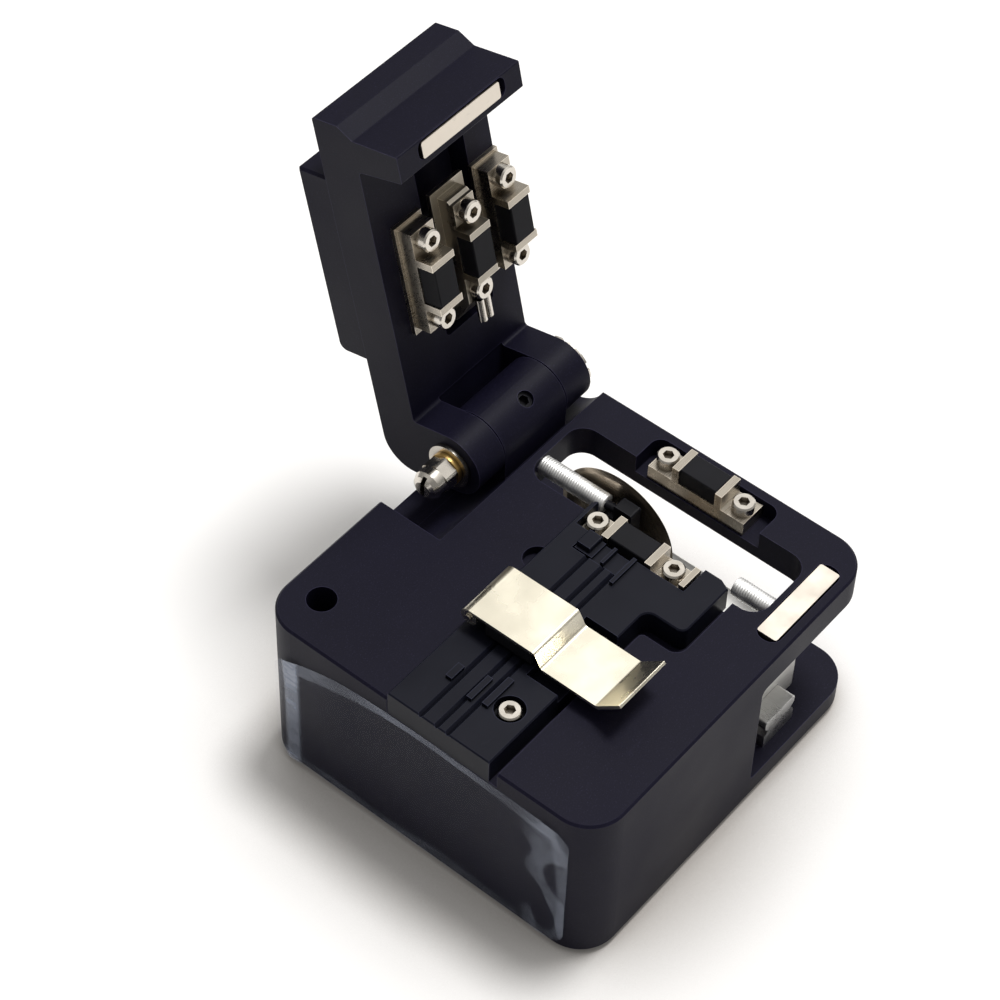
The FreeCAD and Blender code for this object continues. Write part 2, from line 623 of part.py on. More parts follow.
# ================================================================ fibre clip
def clip_profile():
    """Sheet outline in Y and Z: barrel tangent, upper panel, step, lower panel and finger tab."""
    upper = CLIP_PIN_Z + CLIP_BARREL_R
    lower = upper - CLIP_STEP
    y_pin = CLIP_PIN_Y
    t = CLIP_T
    rise = math.atan2(CLIP_TIP_UP, CLIP_TAB_Y - CLIP_TIP_Y)
    nx = t * math.sin(rise)
    nz = t * math.cos(rise)
    return [(y_pin, upper), (CLIP_STEP_Y, upper, 0.6), (CLIP_STEP_Y - 1.3, lower, 0.6), (CLIP_TAB_Y, lower, 0.5),
            (CLIP_TIP_Y, lower + CLIP_TIP_UP, 0.1), (CLIP_TIP_Y - nx, lower + CLIP_TIP_UP - nz, 0.1),
            (CLIP_TAB_Y - nx, lower - t, 0.9), (CLIP_STEP_Y - 1.3 - 0.2, lower - t, 0.9),
            (CLIP_STEP_Y - 0.2, upper - t, 0.3), (y_pin, upper - t)]


def fibre_clip():
    """Bent sheet that rolls round the post's knuckle, with a solid eye at each end of the pin."""
    x0 = CLIP_X - CLIP_W / 2
    x1 = CLIP_X + CLIP_W / 2
    leaf = side(clip_profile(), x0, x1)
    barrel = rod(CLIP_BARREL_R, V(x0, CLIP_PIN_Y, CLIP_PIN_Z), V(x1, CLIP_PIN_Y, CLIP_PIN_Z))
    gap = 0.12
    post_x = CLIP_POST_W / 2 + gap
    inner = CLIP_BARREL_R - CLIP_T
    bed = rod(inner, V(CLIP_X - post_x, CLIP_PIN_Y, CLIP_PIN_Z), V(CLIP_X + post_x, CLIP_PIN_Y, CLIP_PIN_Z))
    reach = CLIP_BARREL_R + 1
    below = side([(CLIP_PIN_Y - reach, CLIP_PIN_Z - reach), (CLIP_PIN_Y + reach, CLIP_PIN_Z - reach),
                  (CLIP_PIN_Y + reach, CLIP_PIN_Z), (CLIP_PIN_Y, CLIP_PIN_Z), (CLIP_PIN_Y, CLIP_PIN_Z + inner),
                  (CLIP_PIN_Y - reach, CLIP_PIN_Z + inner)], CLIP_X - post_x, CLIP_X + post_x)
    bore = rod(CLIP_PIN_R + CLIP_RUN_CLEAR, V(x0 - 1, CLIP_PIN_Y, CLIP_PIN_Z), V(x1 + 1, CLIP_PIN_Y, CLIP_PIN_Z))
    return leaf.fuse(barrel).cut([bed, below, bore]).removeSplitter()


def clip_pin():
    x0 = CLIP_X - CLIP_W / 2 - 0.3
    x1 = CLIP_X + CLIP_W / 2 + 0.3
    return rod(CLIP_PIN_R, V(x0, CLIP_PIN_Y, CLIP_PIN_Z), V(x1, CLIP_PIN_Y, CLIP_PIN_Z))


def clip_pad():
    """Soft block under the upper panel that holds the coated fibre down."""
    top = CLIP_PIN_Z + CLIP_BARREL_R - CLIP_T
    low = DECK + PLATE_UP + CLIP_PAD_CLEAR
    y0 = CLIP_STEP_Y + 0.7
    pad = box(CLIP_X - CLIP_W / 2 + 0.5, CLIP_X + CLIP_W / 2 - 0.5, y0, y0 + CLIP_PAD_L, low, top)
    soles = [e for e in pad.Edges if abs(e.CenterOfMass.z - low) < 1e-6]
    return pad.makeChamfer(0.3, soles)


# ================================================================ lid hinge hardware
WASHER_R = 3.6
WASHER_T = 0.7
BUSH_R = 2.6
BUSH_T = 0.7
NUT_AF = 4.6
NUT_LEN = 2.3
CAP_R = 2.35
CAP_LEN = 2.7
STAR_R = 4.9
STAR_T = 0.5
STAR_TEETH = 12
PIN_HEAD_R = 3.6


def hinge_stack():
    """X of each face in the nut stack at the left end of the pin, from the lid outwards."""
    faces = [LID_LEFT - 0.05]
    for length in (WASHER_T, BUSH_T, NUT_LEN, CAP_LEN):
        faces.append(faces[-1] - length)
    return faces


def pin_between(x0, x1, radius):
    return rod(radius, V(x0, HINGE_Y, HINGE_Z), V(x1, HINGE_Y, HINGE_Z))


def hinge_pin():
    end = LID_RIGHT + 0.05 + STAR_T
    tail = hinge_stack()[4] + 1.2
    head = pin_between(end, end + PIN_HEAD_H, PIN_HEAD_R)
    rim = [e for e in head.Edges if abs(e.CenterOfMass.x - end - PIN_HEAD_H) < 1e-6]
    return pin_between(tail, end + 0.01, PIN_R).fuse(head.makeChamfer(0.3, rim))


def hinge_washer():
    a, b = hinge_stack()[0:2]
    return pin_between(b, a, WASHER_R).cut(pin_between(b - 1, a + 1, PIN_R))


def hinge_bush():
    a, b = hinge_stack()[1:3]
    return pin_between(b, a, BUSH_R).cut(pin_between(b - 1, a + 1, PIN_R))


def hinge_nut():
    a, b = hinge_stack()[2:4]
    nut = hexagon(NUT_AF, V(b, HINGE_Y, HINGE_Z), V(a, HINGE_Y, HINGE_Z))
    barrel = rod(NUT_AF / 2 * 1.1, V(b, HINGE_Y, HINGE_Z), V(a, HINGE_Y, HINGE_Z))
    return nut.common(barrel).cut(pin_between(b - 1, a + 1, PIN_R))


def hinge_cap():
    """Domed cap nut that closes the end of the pin."""
    a, b = hinge_stack()[3:5]
    low = CAP_R * 0.55
    wire = Part.makePolygon([V(a, 0, 0), V(a, CAP_R, 0), V(b + 1.2, CAP_R, 0), V(b + 0.4, CAP_R - 0.4, 0),
                             V(b, low, 0), V(b, 0, 0), V(a, 0, 0)])
    cap = Part.Face(wire).revolve(V(0, 0, 0), X_AXIS, 360)
    cap.translate(V(0, HINGE_Y, HINGE_Z))
    cap = cap.cut(pin_between(b + 1.2, a + 1, PIN_R))
    slot = box(b - 1, b + 0.7, HINGE_Y - 0.35, HINGE_Y + 0.35, HINGE_Z - CAP_R, HINGE_Z + CAP_R)
    return cap.cut(slot)


def star_washer():
    """Toothed lock washer under the pin's head."""
    x0 = LID_RIGHT + 0.05
    disc = pin_between(x0, x0 + STAR_T, STAR_R)
    cuts = [pin_between(x0 - 1, x0 + STAR_T + 1, PIN_R)]
    for i in range(STAR_TEETH):
        a = math.tau * i / STAR_TEETH
        nick = V(x0 - 1, HINGE_Y + STAR_R * math.cos(a), HINGE_Z + STAR_R * math.sin(a))
        cuts.append(rod(0.55, nick, nick + V(STAR_T + 2, 0, 0)))
    return disc.cut(cuts)


def hinge_set_screw():
    foot, out = set_screw_line()
    screw = rod(SET_SCREW_R - THREAD_CLEAR, foot + out * PIN_R, foot + out * (KNUCKLE_R - 0.7))
    return screw.cut(hexagon(HEX_AF, foot + out * (KNUCKLE_R - 1.8), foot + out * KNUCKLE_R))


# ================================================================ slider and blade
def rail_screw_places():
    return [RAIL_FRONT + 6.0, (RAIL_FRONT + RAIL_BACK) / 2, RAIL_BACK - 6.0]


def rail_section(grow):
    """Rail section in X and Z with a ball track in each flank."""
    w = RAIL_W / 2 + grow
    h = RAIL_H + grow
    g = RAIL_GROOVE_R
    mid = FLOOR + RAIL_H * 0.58
    return [(RAIL_X - w, FLOOR), (RAIL_X + w, FLOOR), (RAIL_X + w, mid - g), (RAIL_X + w - g, mid, 0.4),
            (RAIL_X + w, mid + g), (RAIL_X + w, FLOOR + h, 0.4), (RAIL_X - w, FLOOR + h, 0.4),
            (RAIL_X - w, mid + g), (RAIL_X - w + g, mid, 0.4), (RAIL_X - w, mid - g)]


def linear_rail():
    rail = front(rail_section(0.0), RAIL_FRONT, RAIL_BACK)
    for y in rail_screw_places():
        top = V(RAIL_X, y, FLOOR + RAIL_H)
        rail = rail.cut(rod(HEAD_R + 0.15, top - V(0, 0, HEAD_H + 0.3), top + V(0, 0, 1)))
        rail = rail.cut(rod(SHANK_R + THREAD_CLEAR, top - V(0, 0, RAIL_H + 1), top))
    return rail


def rail_screws():
    seats = [V(RAIL_X, y, FLOOR + RAIL_H - HEAD_H - 0.3) for y in rail_screw_places()]
    return group([socket_screw(s, V(0, 0, -1), RAIL_H - HEAD_H - 0.3 + 2.4) for s in seats])


def bracket_screw_seats():
    x = BLADE_X - BLADE_T / 2 - HUB_T - BRACKET_T - BRACKET_FOOT_W / 2 + 1.0
    top = CARRIAGE_TOP + BRACKET_FOOT_T
    return [V(x, BLADE_Y + s * (BRACKET_FOOT_L / 2 - 2.4), top) for s in (-1, 1)]


def slider_carriage():
    low = FLOOR + CARRIAGE_LIFT
    corners = [(CARRIAGE_LEFT, CARRIAGE_FRONT, 0.8), (CARRIAGE_RIGHT, CARRIAGE_FRONT, 0.8),
               (CARRIAGE_RIGHT, CARRIAGE_BACK, 0.8), (CARRIAGE_LEFT, CARRIAGE_BACK, 0.8)]
    block = plan(corners, low, CARRIAGE_TOP)
    rims = [e for e in block.Edges if abs(e.CenterOfMass.z - CARRIAGE_TOP) < 1e-6 or abs(e.CenterOfMass.z - low) < 1e-6]
    block = block.makeChamfer(0.4, rims)
    channel = front(rail_section(RAIL_CLEAR), CARRIAGE_FRONT - 1, CARRIAGE_BACK + 1)
    well_r = BLADE_R + BLADE_SLOT_ROOM
    well = rod(well_r, V(BLADE_X - BLADE_SLOT_W / 2, BLADE_Y, BLADE_Z), V(BLADE_X + BLADE_SLOT_W / 2, BLADE_Y, BLADE_Z))
    cuts = [channel, well]
    for seat in bracket_screw_seats():
        cuts.append(rod(SHANK_R + THREAD_CLEAR, seat - V(0, 0, BRACKET_FOOT_T + 4), seat))
    return block.cut(cuts)


def blade_bracket():
    """Upright arm beside the blade, with a foot on the carriage and a stop lug at the top."""
    x1 = BLADE_X - BLADE_T / 2 - HUB_T
    x0 = x1 - BRACKET_T
    half = BRACKET_FOOT_L / 2
    foot_top = CARRIAGE_TOP + BRACKET_FOOT_T
    foot = plan([(x0 - BRACKET_FOOT_W + BRACKET_T, BLADE_Y - half, 1.0), (x1, BLADE_Y - half, 0.4),
                 (x1, BLADE_Y + half, 0.4), (x0 - BRACKET_FOOT_W + BRACKET_T, BLADE_Y + half, 1.0)],
                CARRIAGE_TOP, foot_top)
    arm = side([(BLADE_Y - half, CARRIAGE_TOP), (BLADE_Y + half, CARRIAGE_TOP), (BLADE_Y + half, foot_top, 0.5),
                (BLADE_Y + 4.6, BLADE_Z + 1.0, 2.0), (BLADE_Y + 3.2, BLADE_Z + 3.6, 1.5),
                (LUG_FRONT + LUG_L, LUG_TOP - 4.2), (LUG_FRONT + LUG_L, LUG_TOP, 0.3), (LUG_FRONT, LUG_TOP, 0.3),
                (LUG_FRONT, BLADE_Z, 1.0),
                (BLADE_Y - half, foot_top, 0.5)], x0, x1)
    bracket = foot.fuse(arm).removeSplitter()
    trim = box(x0 - 1, x1 - LUG_W, FRONT, BACK, BLADE_Z + 4.2, DECK + 5)
    bumper = rod(BUMPER_R, V(STOP_X, LUG_FRONT + LUG_L - 0.01, STOP_Z), V(STOP_X, LUG_FRONT + LUG_END, STOP_Z))
    bracket = bracket.cut(trim).fuse(bumper)
    cuts = [rod(BLADE_BORE_R, V(x0 - 1, BLADE_Y, BLADE_Z), V(x1 + 1, BLADE_Y, BLADE_Z))]
    for seat in bracket_screw_seats():
        cuts.append(rod(SHANK_R + THREAD_CLEAR, seat - V(0, 0, 5), seat + V(0, 0, 1)))
    return bracket.cut(cuts)


def bracket_screws():
    return group([socket_screw(s, V(0, 0, -1), BRACKET_FOOT_T + 3.5) for s in bracket_screw_seats()])


def blade_arbor():
    """Fixed bush in the bracket: flange against the bracket and a journal through the blade."""
    x0 = BLADE_X - BLADE_T / 2 - HUB_T
    x1 = BLADE_X + BLADE_T / 2 + HUB_T
    flange = rod(HUB_R, V(x0, BLADE_Y, BLADE_Z), V(x0 + HUB_T - BORE_CLEAR, BLADE_Y, BLADE_Z))
    seat = rod(BLADE_BORE_R, V(x0 - BRACKET_T, BLADE_Y, BLADE_Z), V(x0, BLADE_Y, BLADE_Z))
    journal = rod(BLADE_BORE_R - BORE_CLEAR, V(x0, BLADE_Y, BLADE_Z), V(x1, BLADE_Y, BLADE_Z))
    thread = rod(LOCK_SHANK_R, V(x0 - BRACKET_T - 1, BLADE_Y, BLADE_Z), V(x1 + 1, BLADE_Y, BLADE_Z))
    return flange.fuse([seat, journal]).removeSplitter().cut(thread)


def cutting_blade():
    """Disc with a double bevel, revolved about the arbor."""
    half = BLADE_T / 2
    wire = Part.makePolygon([V(-half, BLADE_BORE_R, 0), V(half, BLADE_BORE_R, 0), V(half, BLADE_R - BLADE_BEVEL, 0),
                             V(0, BLADE_R, 0), V(-half, BLADE_R - BLADE_BEVEL, 0), V(-half, BLADE_BORE_R, 0)])
    disc = Part.Face(wire).revolve(V(0, 0, 0), X_AXIS, 360)
    disc.translate(V(BLADE_X, BLADE_Y, BLADE_Z))
    return disc


def blade_flange():
    """Clamp disc that turns with the blade, with one rim notch for each of the sixteen positions."""
    x0 = BLADE_X + BLADE_T / 2
    disc = rod(HUB_R, V(x0, BLADE_Y, BLADE_Z), V(x0 + HUB_T - BORE_CLEAR, BLADE_Y, BLADE_Z))
    cuts = [rod(BLADE_BORE_R, V(x0 - 1, BLADE_Y, BLADE_Z), V(x0 + 1, BLADE_Y, BLADE_Z))]
    for i in range(INDEX_COUNT):
        notch = box(x0 - 1, x0 + 1, HUB_R - INDEX_DEPTH, HUB_R + 1, -INDEX_W / 2, INDEX_W / 2)
        notch.rotate(V(0, 0, 0), X_AXIS, 360 / INDEX_COUNT * i)
        notch.translate(V(0, BLADE_Y, BLADE_Z))
        cuts.append(notch)
    return disc.cut(cuts)


def blade_lock_screw():
    """Screw in the arbor that clamps the blade at one of its positions."""
    x0 = BLADE_X + BLADE_T / 2 + HUB_T
    tip = BLADE_X - BLADE_T / 2 - HUB_T - BRACKET_T
    screw = rod(LOCK_R, V(x0, BLADE_Y, BLADE_Z), V(x0 + LOCK_T, BLADE_Y, BLADE_Z))
    rim = [e for e in screw.Edges if abs(e.CenterOfMass.x - x0 - LOCK_T) < 1e-6]
    screw = screw.makeChamfer(HEAD_EDGE, rim)
    screw = screw.fuse(rod(LOCK_SHANK_R, V(tip, BLADE_Y, BLADE_Z), V(x0, BLADE_Y, BLADE_Z)))
    return screw.cut(hexagon(2.0, V(x0 + LOCK_T - 0.9, BLADE_Y, BLADE_Z), V(x0 + LOCK_T + 1, BLADE_Y, BLADE_Z)))


def rear_stop_pin():
    tip = LUG_FRONT + LUG_END + STOP_CLEAR
    pin = rod(STOP_R, V(STOP_X, tip, STOP_Z), V(STOP_X, SLOT_BACK + STOP_SINK, STOP_Z))
    rim = [e for e in pin.Edges if abs(e.CenterOfMass.y - tip) < 1e-6]
    return pin.makeChamfer(0.15, rim)


def front_stop_screw():
    tip = LUG_FRONT - TRAVEL - STOP_CLEAR
    pin = rod(STOP_R, V(STOP_X, SLOT_FRONT - STOP_SINK, STOP_Z), V(STOP_X, tip, STOP_Z))
    rim = [e for e in pin.Edges if abs(e.CenterOfMass.y - tip) < 1e-6]
    return pin.makeChamfer(0.15, rim)


# ================================================================ lid, drawn closed
def lid_arm():
    tip = DECK + BEAK_GAP
    axis_back = HINGE_Y + KNUCKLE_R
    axis_front = HINGE_Y - KNUCKLE_R
    profile = [(LID_FRONT, LID_TOP, 0.4), (LID_FRONT, LID_TOP - 4.5, 0.4), (BEAK_FACE, LID_IN, 0.5),
               (BEAK_FACE, tip, 0.25), (BEAK_BACK, tip, 0.25), (BEAK_ROOT, LID_IN, 0.6), (axis_front, LID_IN, 0.6),
               (axis_front, HINGE_Z), (axis_back, HINGE_Z), (axis_back, LID_TOP, LID_BACK_R)]
    arm = side(profile, LID_LEFT, LID_RIGHT)
    arm = arm.fuse(hinge_ring(LID_LEFT, LID_RIGHT)).removeSplitter()
    gap = KNUCKLE_R + HINGE_GAP
    low_x = KNUCKLE_LEFT - HINGE_GAP
    high_x = KNUCKLE_RIGHT + HINGE_GAP
    room = side([(HINGE_Y - gap - 0.3, HINGE_Z - gap), (HINGE_Y + gap + 2, HINGE_Z - gap),
                 (HINGE_Y + gap + 2, HINGE_Z + gap, 0.4), (HINGE_Y - gap - 0.3, HINGE_Z + gap, 2.0)], low_x, high_x)
    sweep = side([(HINGE_Y - gap - 0.3, HINGE_Z - gap - 1), (HINGE_Y + gap + 2, HINGE_Z - gap - 1),
                  (HINGE_Y + gap + 2, HINGE_Z + KNUCKLE_CLEAR_UP), (HINGE_Y - gap - 0.3, LID_IN + 0.2)], low_x, high_x)
    channel = plan([(CHANNEL_LEFT, CHANNEL_FRONT, 0.8), (CHANNEL_RIGHT, CHANNEL_FRONT, 0.8),
                    (CHANNEL_RIGHT, CHANNEL_BACK, 0.8), (CHANNEL_LEFT, CHANNEL_BACK, 0.8)],
                   LID_IN - 1, LID_IN + CHANNEL_DEPTH)
    magnet = slot_plan(LID_MAGNET_X + LID_MAGNET_SHIFT, LID_MAGNET_Y, LID_MAGNET_L + LID_MAGNET_PLAY,
                       LID_MAGNET_W + 2 * MAGNET_ROOM, 1.2, tip - 1, tip - MAGNET_PROUD + LID_MAGNET_T)
    cuts = [room, sweep, channel, magnet]
    cuts.append(pin_between(LID_LEFT - 1, LID_RIGHT + 1, PIN_R + PIN_CLEAR))
    for x in (CLAMP_L_X, CLAMP_R_X):
        for seat in anvil_screw_seats(x, LID_IN):
            cuts.append(rod(SHANK_R + THREAD_CLEAR, seat - V(0, 0, 1), seat + V(0, 0, 3.2)))
    cuts.append(rod(ARM_PIN_R, V(CHANNEL_LEFT - 1.3, ARM_PIN_Y, ARM_PIN_Z), V(CHANNEL_RIGHT + 1.3, ARM_PIN_Y, ARM_PIN_Z)))
    for x, y in cover_screw_places():
        cuts.append(rod(SHANK_R + THREAD_CLEAR, V(x, y, LID_TOP - 2.2), V(x, y, LID_TOP + 1)))
    cuts.append(rod(LID_SCREW_R + THREAD_CLEAR, V(LID_SCREW_X, LID_SCREW_Y, LID_IN - 1),
                    V(LID_SCREW_X, LID_SCREW_Y, LID_IN + 3)))
    return arm.cut(cuts)


KNUCKLE_CLEAR_UP = 6.6
ARM_PIN_Z = LID_IN + ARM_PIN_DEPTH
CLAMP_L_X = ANVIL_L_X
CLAMP_R_X = ANVIL_R_X
CLAMP_HEIGHT = LID_IN - FIBRE_Z - PAD_GAP
LID_SCREW_X = 26.5
LID_SCREW_Y = FIBRE_Y + 10.1
LID_SCREW_R = 0.5


def cover_screw_places():
    x_mid = (LID_LEFT + LID_RIGHT) / 2
    x_off = (LID_RIGHT - LID_LEFT) / 2 - COVER_SCREW_INSET
    return [(x_mid + sx * x_off, y) for sx in (-1, 1)
            for y in (COVER_FRONT + COVER_SCREW_INSET, COVER_BACK - COVER_SCREW_INSET)]


def lid_cover():
    """Housing on the lid's outer face, a shell open towards the lid."""
    x0 = LID_LEFT + COVER_SEAM
    x1 = LID_RIGHT - COVER_SEAM
    top = LID_TOP + COVER_H
    shell = side([(COVER_FRONT, LID_TOP), (COVER_FRONT, top, 0.5), (COVER_BACK, top, COVER_R), (COVER_BACK, LID_TOP)], x0, x1)
    rims = [e for e in shell.Edges if abs(e.CenterOfMass.z - top) < 1e-6 and e.Length < x1 - x0 - 1e-3 or
            (abs(e.CenterOfMass.x - x0) < 1e-6 or abs(e.CenterOfMass.x - x1) < 1e-6) and
            e.CenterOfMass.z > LID_TOP + 1e-3 and e.Length > COVER_H + 1]
    shell = shell.makeChamfer(0.4, rims)
    wall = COVER_WALL
    hollow = box(x0 + wall, x1 - wall, COVER_FRONT + wall, COVER_BACK - wall, LID_TOP - 1, top - wall)
    shell = shell.cut(hollow)
    for x, y in cover_screw_places():
        boss = rod(HEAD_R + 1.3, V(x, y, LID_TOP), V(x, y, top - wall + 0.01))
        shell = shell.fuse(boss)
    for x, y in cover_screw_places():
        shell = shell.cut(rod(HEAD_R + 0.2, V(x, y, top - HEAD_H - 0.3), V(x, y, top + 1)))
        shell = shell.cut(rod(SHANK_R + THREAD_CLEAR, V(x, y, LID_TOP - 1), V(x, y, top)))
    return shell.removeSplitter()


def cover_screws():
    top = LID_TOP + COVER_H - HEAD_H - 0.3
    return group([socket_screw(V(x, y, top), V(0, 0, -1), top - LID_TOP + 2.0) for x, y in cover_screw_places()])


def lid_magnet():
    low = DECK + BEAK_GAP - MAGNET_PROUD
    return slot_plan(LID_MAGNET_X, LID_MAGNET_Y, LID_MAGNET_L, LID_MAGNET_W, 0.35, low, low + LID_MAGNET_T)


def clamp_spacer(x):
    """Ground plate under a clamp holder."""
    low = LID_IN - CLAMP_SPACER_T
    half = CLAMP_SPACER_L / 2
    width = CLAMP_SPACER_W / 2
    plate = box(x - width, x + width, FIBRE_Y - half + 0.6, FIBRE_Y + half, low, LID_IN)
    for seat in anvil_screw_seats(x, low):
        plate = plate.cut(rod(SHANK_R + THREAD_CLEAR, seat - V(0, 0, 1), seat + V(0, 0, 2)))
    return plate


def clamp_seat():
    return LID_IN - CLAMP_SPACER_T


def clamp_screws(x):
    seats = anvil_screw_seats(x, clamp_seat() - ANVIL_BASE_H)
    return group([socket_screw(s, V(0, 0, 1), ANVIL_BASE_H + CLAMP_SPACER_T + 3.0) for s in seats])


def arm_under():
    """Height of the press arm's lower face, which carries the press pad."""
    return clamp_seat() - ANVIL_BASE_H - 0.3


def press_arm():
    """Bronze arm on its own pin in the channel, with jaws for the press pad."""
    x0 = ARM_X - ARM_W / 2
    x1 = ARM_X + ARM_W / 2
    under = arm_under()
    top = under + ARM_BASE_H
    tail = ARM_PIN_Y + 1.6
    profile = [(ARM_FRONT, under + 0.5), (ARM_FRONT, top), (ARM_PIN_Y - 4.5, top, 1.0), (ARM_PIN_Y - 1.6, ARM_PIN_Z, 0.8),
               (ARM_PIN_Y - 1.6, ARM_PIN_Z + 1.6, 1.5), (tail, ARM_PIN_Z + 1.6, 1.5), (tail, ARM_PIN_Z - 1.6, 0.8),
               (FIBRE_Y + SCREW_SPAN / 2 + 2.2, under, 0.8), (ARM_FRONT + 0.5, under)]
    arm = side(profile, x0, x1)
    face = FIBRE_Z + PAD_GAP - ARM_PAD_LOW
    for s in (-1, 1):
        middle = FIBRE_Y + s * JAW_SPAN / 2
        arm = arm.fuse(box(x0, x1, middle - JAW_T / 2, middle + JAW_T / 2, face + JAW_DROP, under + 0.01))
    seat_y = FIBRE_Y - SCREW_SPAN / 2
    arm = arm.fuse(box(x0, x1, seat_y - ARM_SEAT_L / 2, seat_y + ARM_SEAT_L / 2, under - ARM_SEAT_T, under + 0.01))
    cuts = [rod(ARM_PIN_R + PIN_CLEAR, V(x0 - 1, ARM_PIN_Y, ARM_PIN_Z), V(x1 + 1, ARM_PIN_Y, ARM_PIN_Z))]
    for seat in anvil_screw_seats(ARM_X, under):
        cuts.append(rod(SHANK_R + THREAD_CLEAR, seat - V(0, 0, 1), seat + V(0, 0, ARM_BASE_H + 2)))
    return arm.removeSplitter().cut(cuts)


def press_pad():
    face = FIBRE_Z + PAD_GAP - ARM_PAD_LOW
    half = (JAW_SPAN - JAW_T) / 2 - PAD_CLEAR
    pad = box(ARM_X - ARM_W / 2 + 0.15, ARM_X + ARM_W / 2 - 0.15, FIBRE_Y - half, FIBRE_Y + half, face, arm_under())
    crown = [e for e in pad.Edges if abs(e.CenterOfMass.z - face) < 1e-6]
    return pad.makeChamfer(0.12, crown)


def press_arm_screws():
    near, far = anvil_screw_seats(ARM_X, arm_under())
    return group([socket_screw(near - V(0, 0, ARM_SEAT_T), V(0, 0, 1), ARM_BASE_H + ARM_SEAT_T + 0.6),
                  socket_screw(far, V(0, 0, 1), ARM_BASE_H + 0.6)])


def press_leaf():
    """Leaf spring on the back of the arm, reaching over the end of the channel."""
    top = arm_under() + ARM_BASE_H
    x0 = ARM_X - ARM_LEAF_W / 2
    x1 = ARM_X + ARM_LEAF_W / 2
    leaf = plan([(x0, ARM_LEAF_FRONT), (x1, ARM_LEAF_FRONT), (x1, FIBRE_Y + 1.5, 0.6), (ARM_X + 1.2, FIBRE_Y + 3.0, 0.6),
                 (ARM_X + 0.7, FIBRE_Y + 5.6), (ARM_X - 0.2, FIBRE_Y + 5.6), (x0, FIBRE_Y - 1.0, 1.0)],
                top, top + ARM_LEAF_T)
    for seat in anvil_screw_seats(ARM_X, top)[:1]:
        leaf = leaf.cut(rod(SHANK_R + THREAD_CLEAR, seat - V(0, 0, 1), seat + V(0, 0, 2)))
    return leaf


def press_arm_pin():
    return rod(ARM_PIN_R, V(CHANNEL_LEFT - 1.2, ARM_PIN_Y, ARM_PIN_Z), V(CHANNEL_RIGHT + 1.2, ARM_PIN_Y, ARM_PIN_Z))


def arm_dowels():
    """Two dowels side by side at the tail of the arm."""
    z = arm_under() - DOWEL_R
    y0 = FIBRE_Y + SCREW_SPAN / 2 + HEAD_R + 0.05
    return group([rod(DOWEL_R, V(ARM_X + s * (DOWEL_R + 0.01), y0, z), V(ARM_X + s * (DOWEL_R + 0.01), y0 + DOWEL_L, z))
                  for s in (-1, 1)])


def lid_adjust_screw():
    top = LID_IN + 2.6
    screw = rod(LID_SCREW_R, V(LID_SCREW_X, LID_SCREW_Y, LID_IN - 0.2), V(LID_SCREW_X, LID_SCREW_Y, top))
    return screw.cut(hexagon(LID_SCREW_R, V(LID_SCREW_X, LID_SCREW_Y, LID_IN - 1), V(LID_SCREW_X, LID_SCREW_Y, LID_IN + 0.4)))


# ================================================================ the nodes
FIXED = {
    "body_frame": body_frame,
    "rubber_mat": rubber_mat,
    "protective_film": protective_film,
    "deck_magnet": deck_magnet,
    "right_anvil_holder": right_anvil_holder,
    "right_anvil_pad": right_anvil_pad,
    "right_anvil_screws": right_anvil_screws,
    "left_anvil_holder": left_anvil_holder,
    "left_anvil_pad": left_anvil_pad,
    "left_anvil_screws": left_anvil_screws,
    "fibre_adapter_plate": fibre_adapter_plate,
    "fibre_guide_comb": fibre_guide_comb,
    "adapter_screw": adapter_screw,
    "clip_pin": clip_pin,
    "fibre_clip": fibre_clip,
    "clip_pad": clip_pad,
    "hinge_pin": hinge_pin,
    "hinge_washer": hinge_washer,
    "hinge_bush": hinge_bush,
    "hinge_nut": hinge_nut,
    "hinge_cap": hinge_cap,
    "star_washer": star_washer,
    "hinge_set_screw": hinge_set_screw,
    "linear_rail": linear_rail,
    "rail_screws": rail_screws,
    "rear_stop_pin": rear_stop_pin,
    "front_stop_screw": front_stop_screw,
    "slider_carriage": slider_carriage,
    "blade_bracket": blade_bracket,
    "bracket_screws": bracket_screws,
    "blade_arbor": blade_arbor,
    "cutting_blade": cutting_blade,
    "blade_flange": blade_flange,
    "blade_lock_screw": blade_lock_screw,
}

IN_LID = {
    "lid_arm": lid_arm,
    "lid_cover": lid_cover,
    "cover_screws": cover_screws,
    "lid_magnet": lid_magnet,
    "left_clamp_spacer": lambda: clamp_spacer(CLAMP_L_X),
    "left_clamp_holder": lambda: anvil_holder(CLAMP_L_X, clamp_seat(), -1, CLAMP_HEIGHT - CLAMP_SPACER_T),
    "left_clamp_pad": lambda: anvil_pad(CLAMP_L_X, clamp_seat(), -1, CLAMP_HEIGHT - CLAMP_SPACER_T),
    "left_clamp_screws": lambda: clamp_screws(CLAMP_L_X),
    "right_clamp_spacer": lambda: clamp_spacer(CLAMP_R_X),
    "right_clamp_holder": lambda: anvil_holder(CLAMP_R_X, clamp_seat(), -1, CLAMP_HEIGHT - CLAMP_SPACER_T),
    "right_clamp_pad": lambda: anvil_pad(CLAMP_R_X, clamp_seat(), -1, CLAMP_HEIGHT - CLAMP_SPACER_T),
    "right_clamp_screws": lambda: clamp_screws(CLAMP_R_X),
    "lid_adjust_screw": lid_adjust_screw,
    "press_arm": press_arm,
    "press_pad": press_pad,
    "press_arm_screws": press_arm_screws,
    "press_leaf": press_leaf,
    "press_arm_pin": press_arm_pin,
    "arm_dowels": arm_dowels,
}


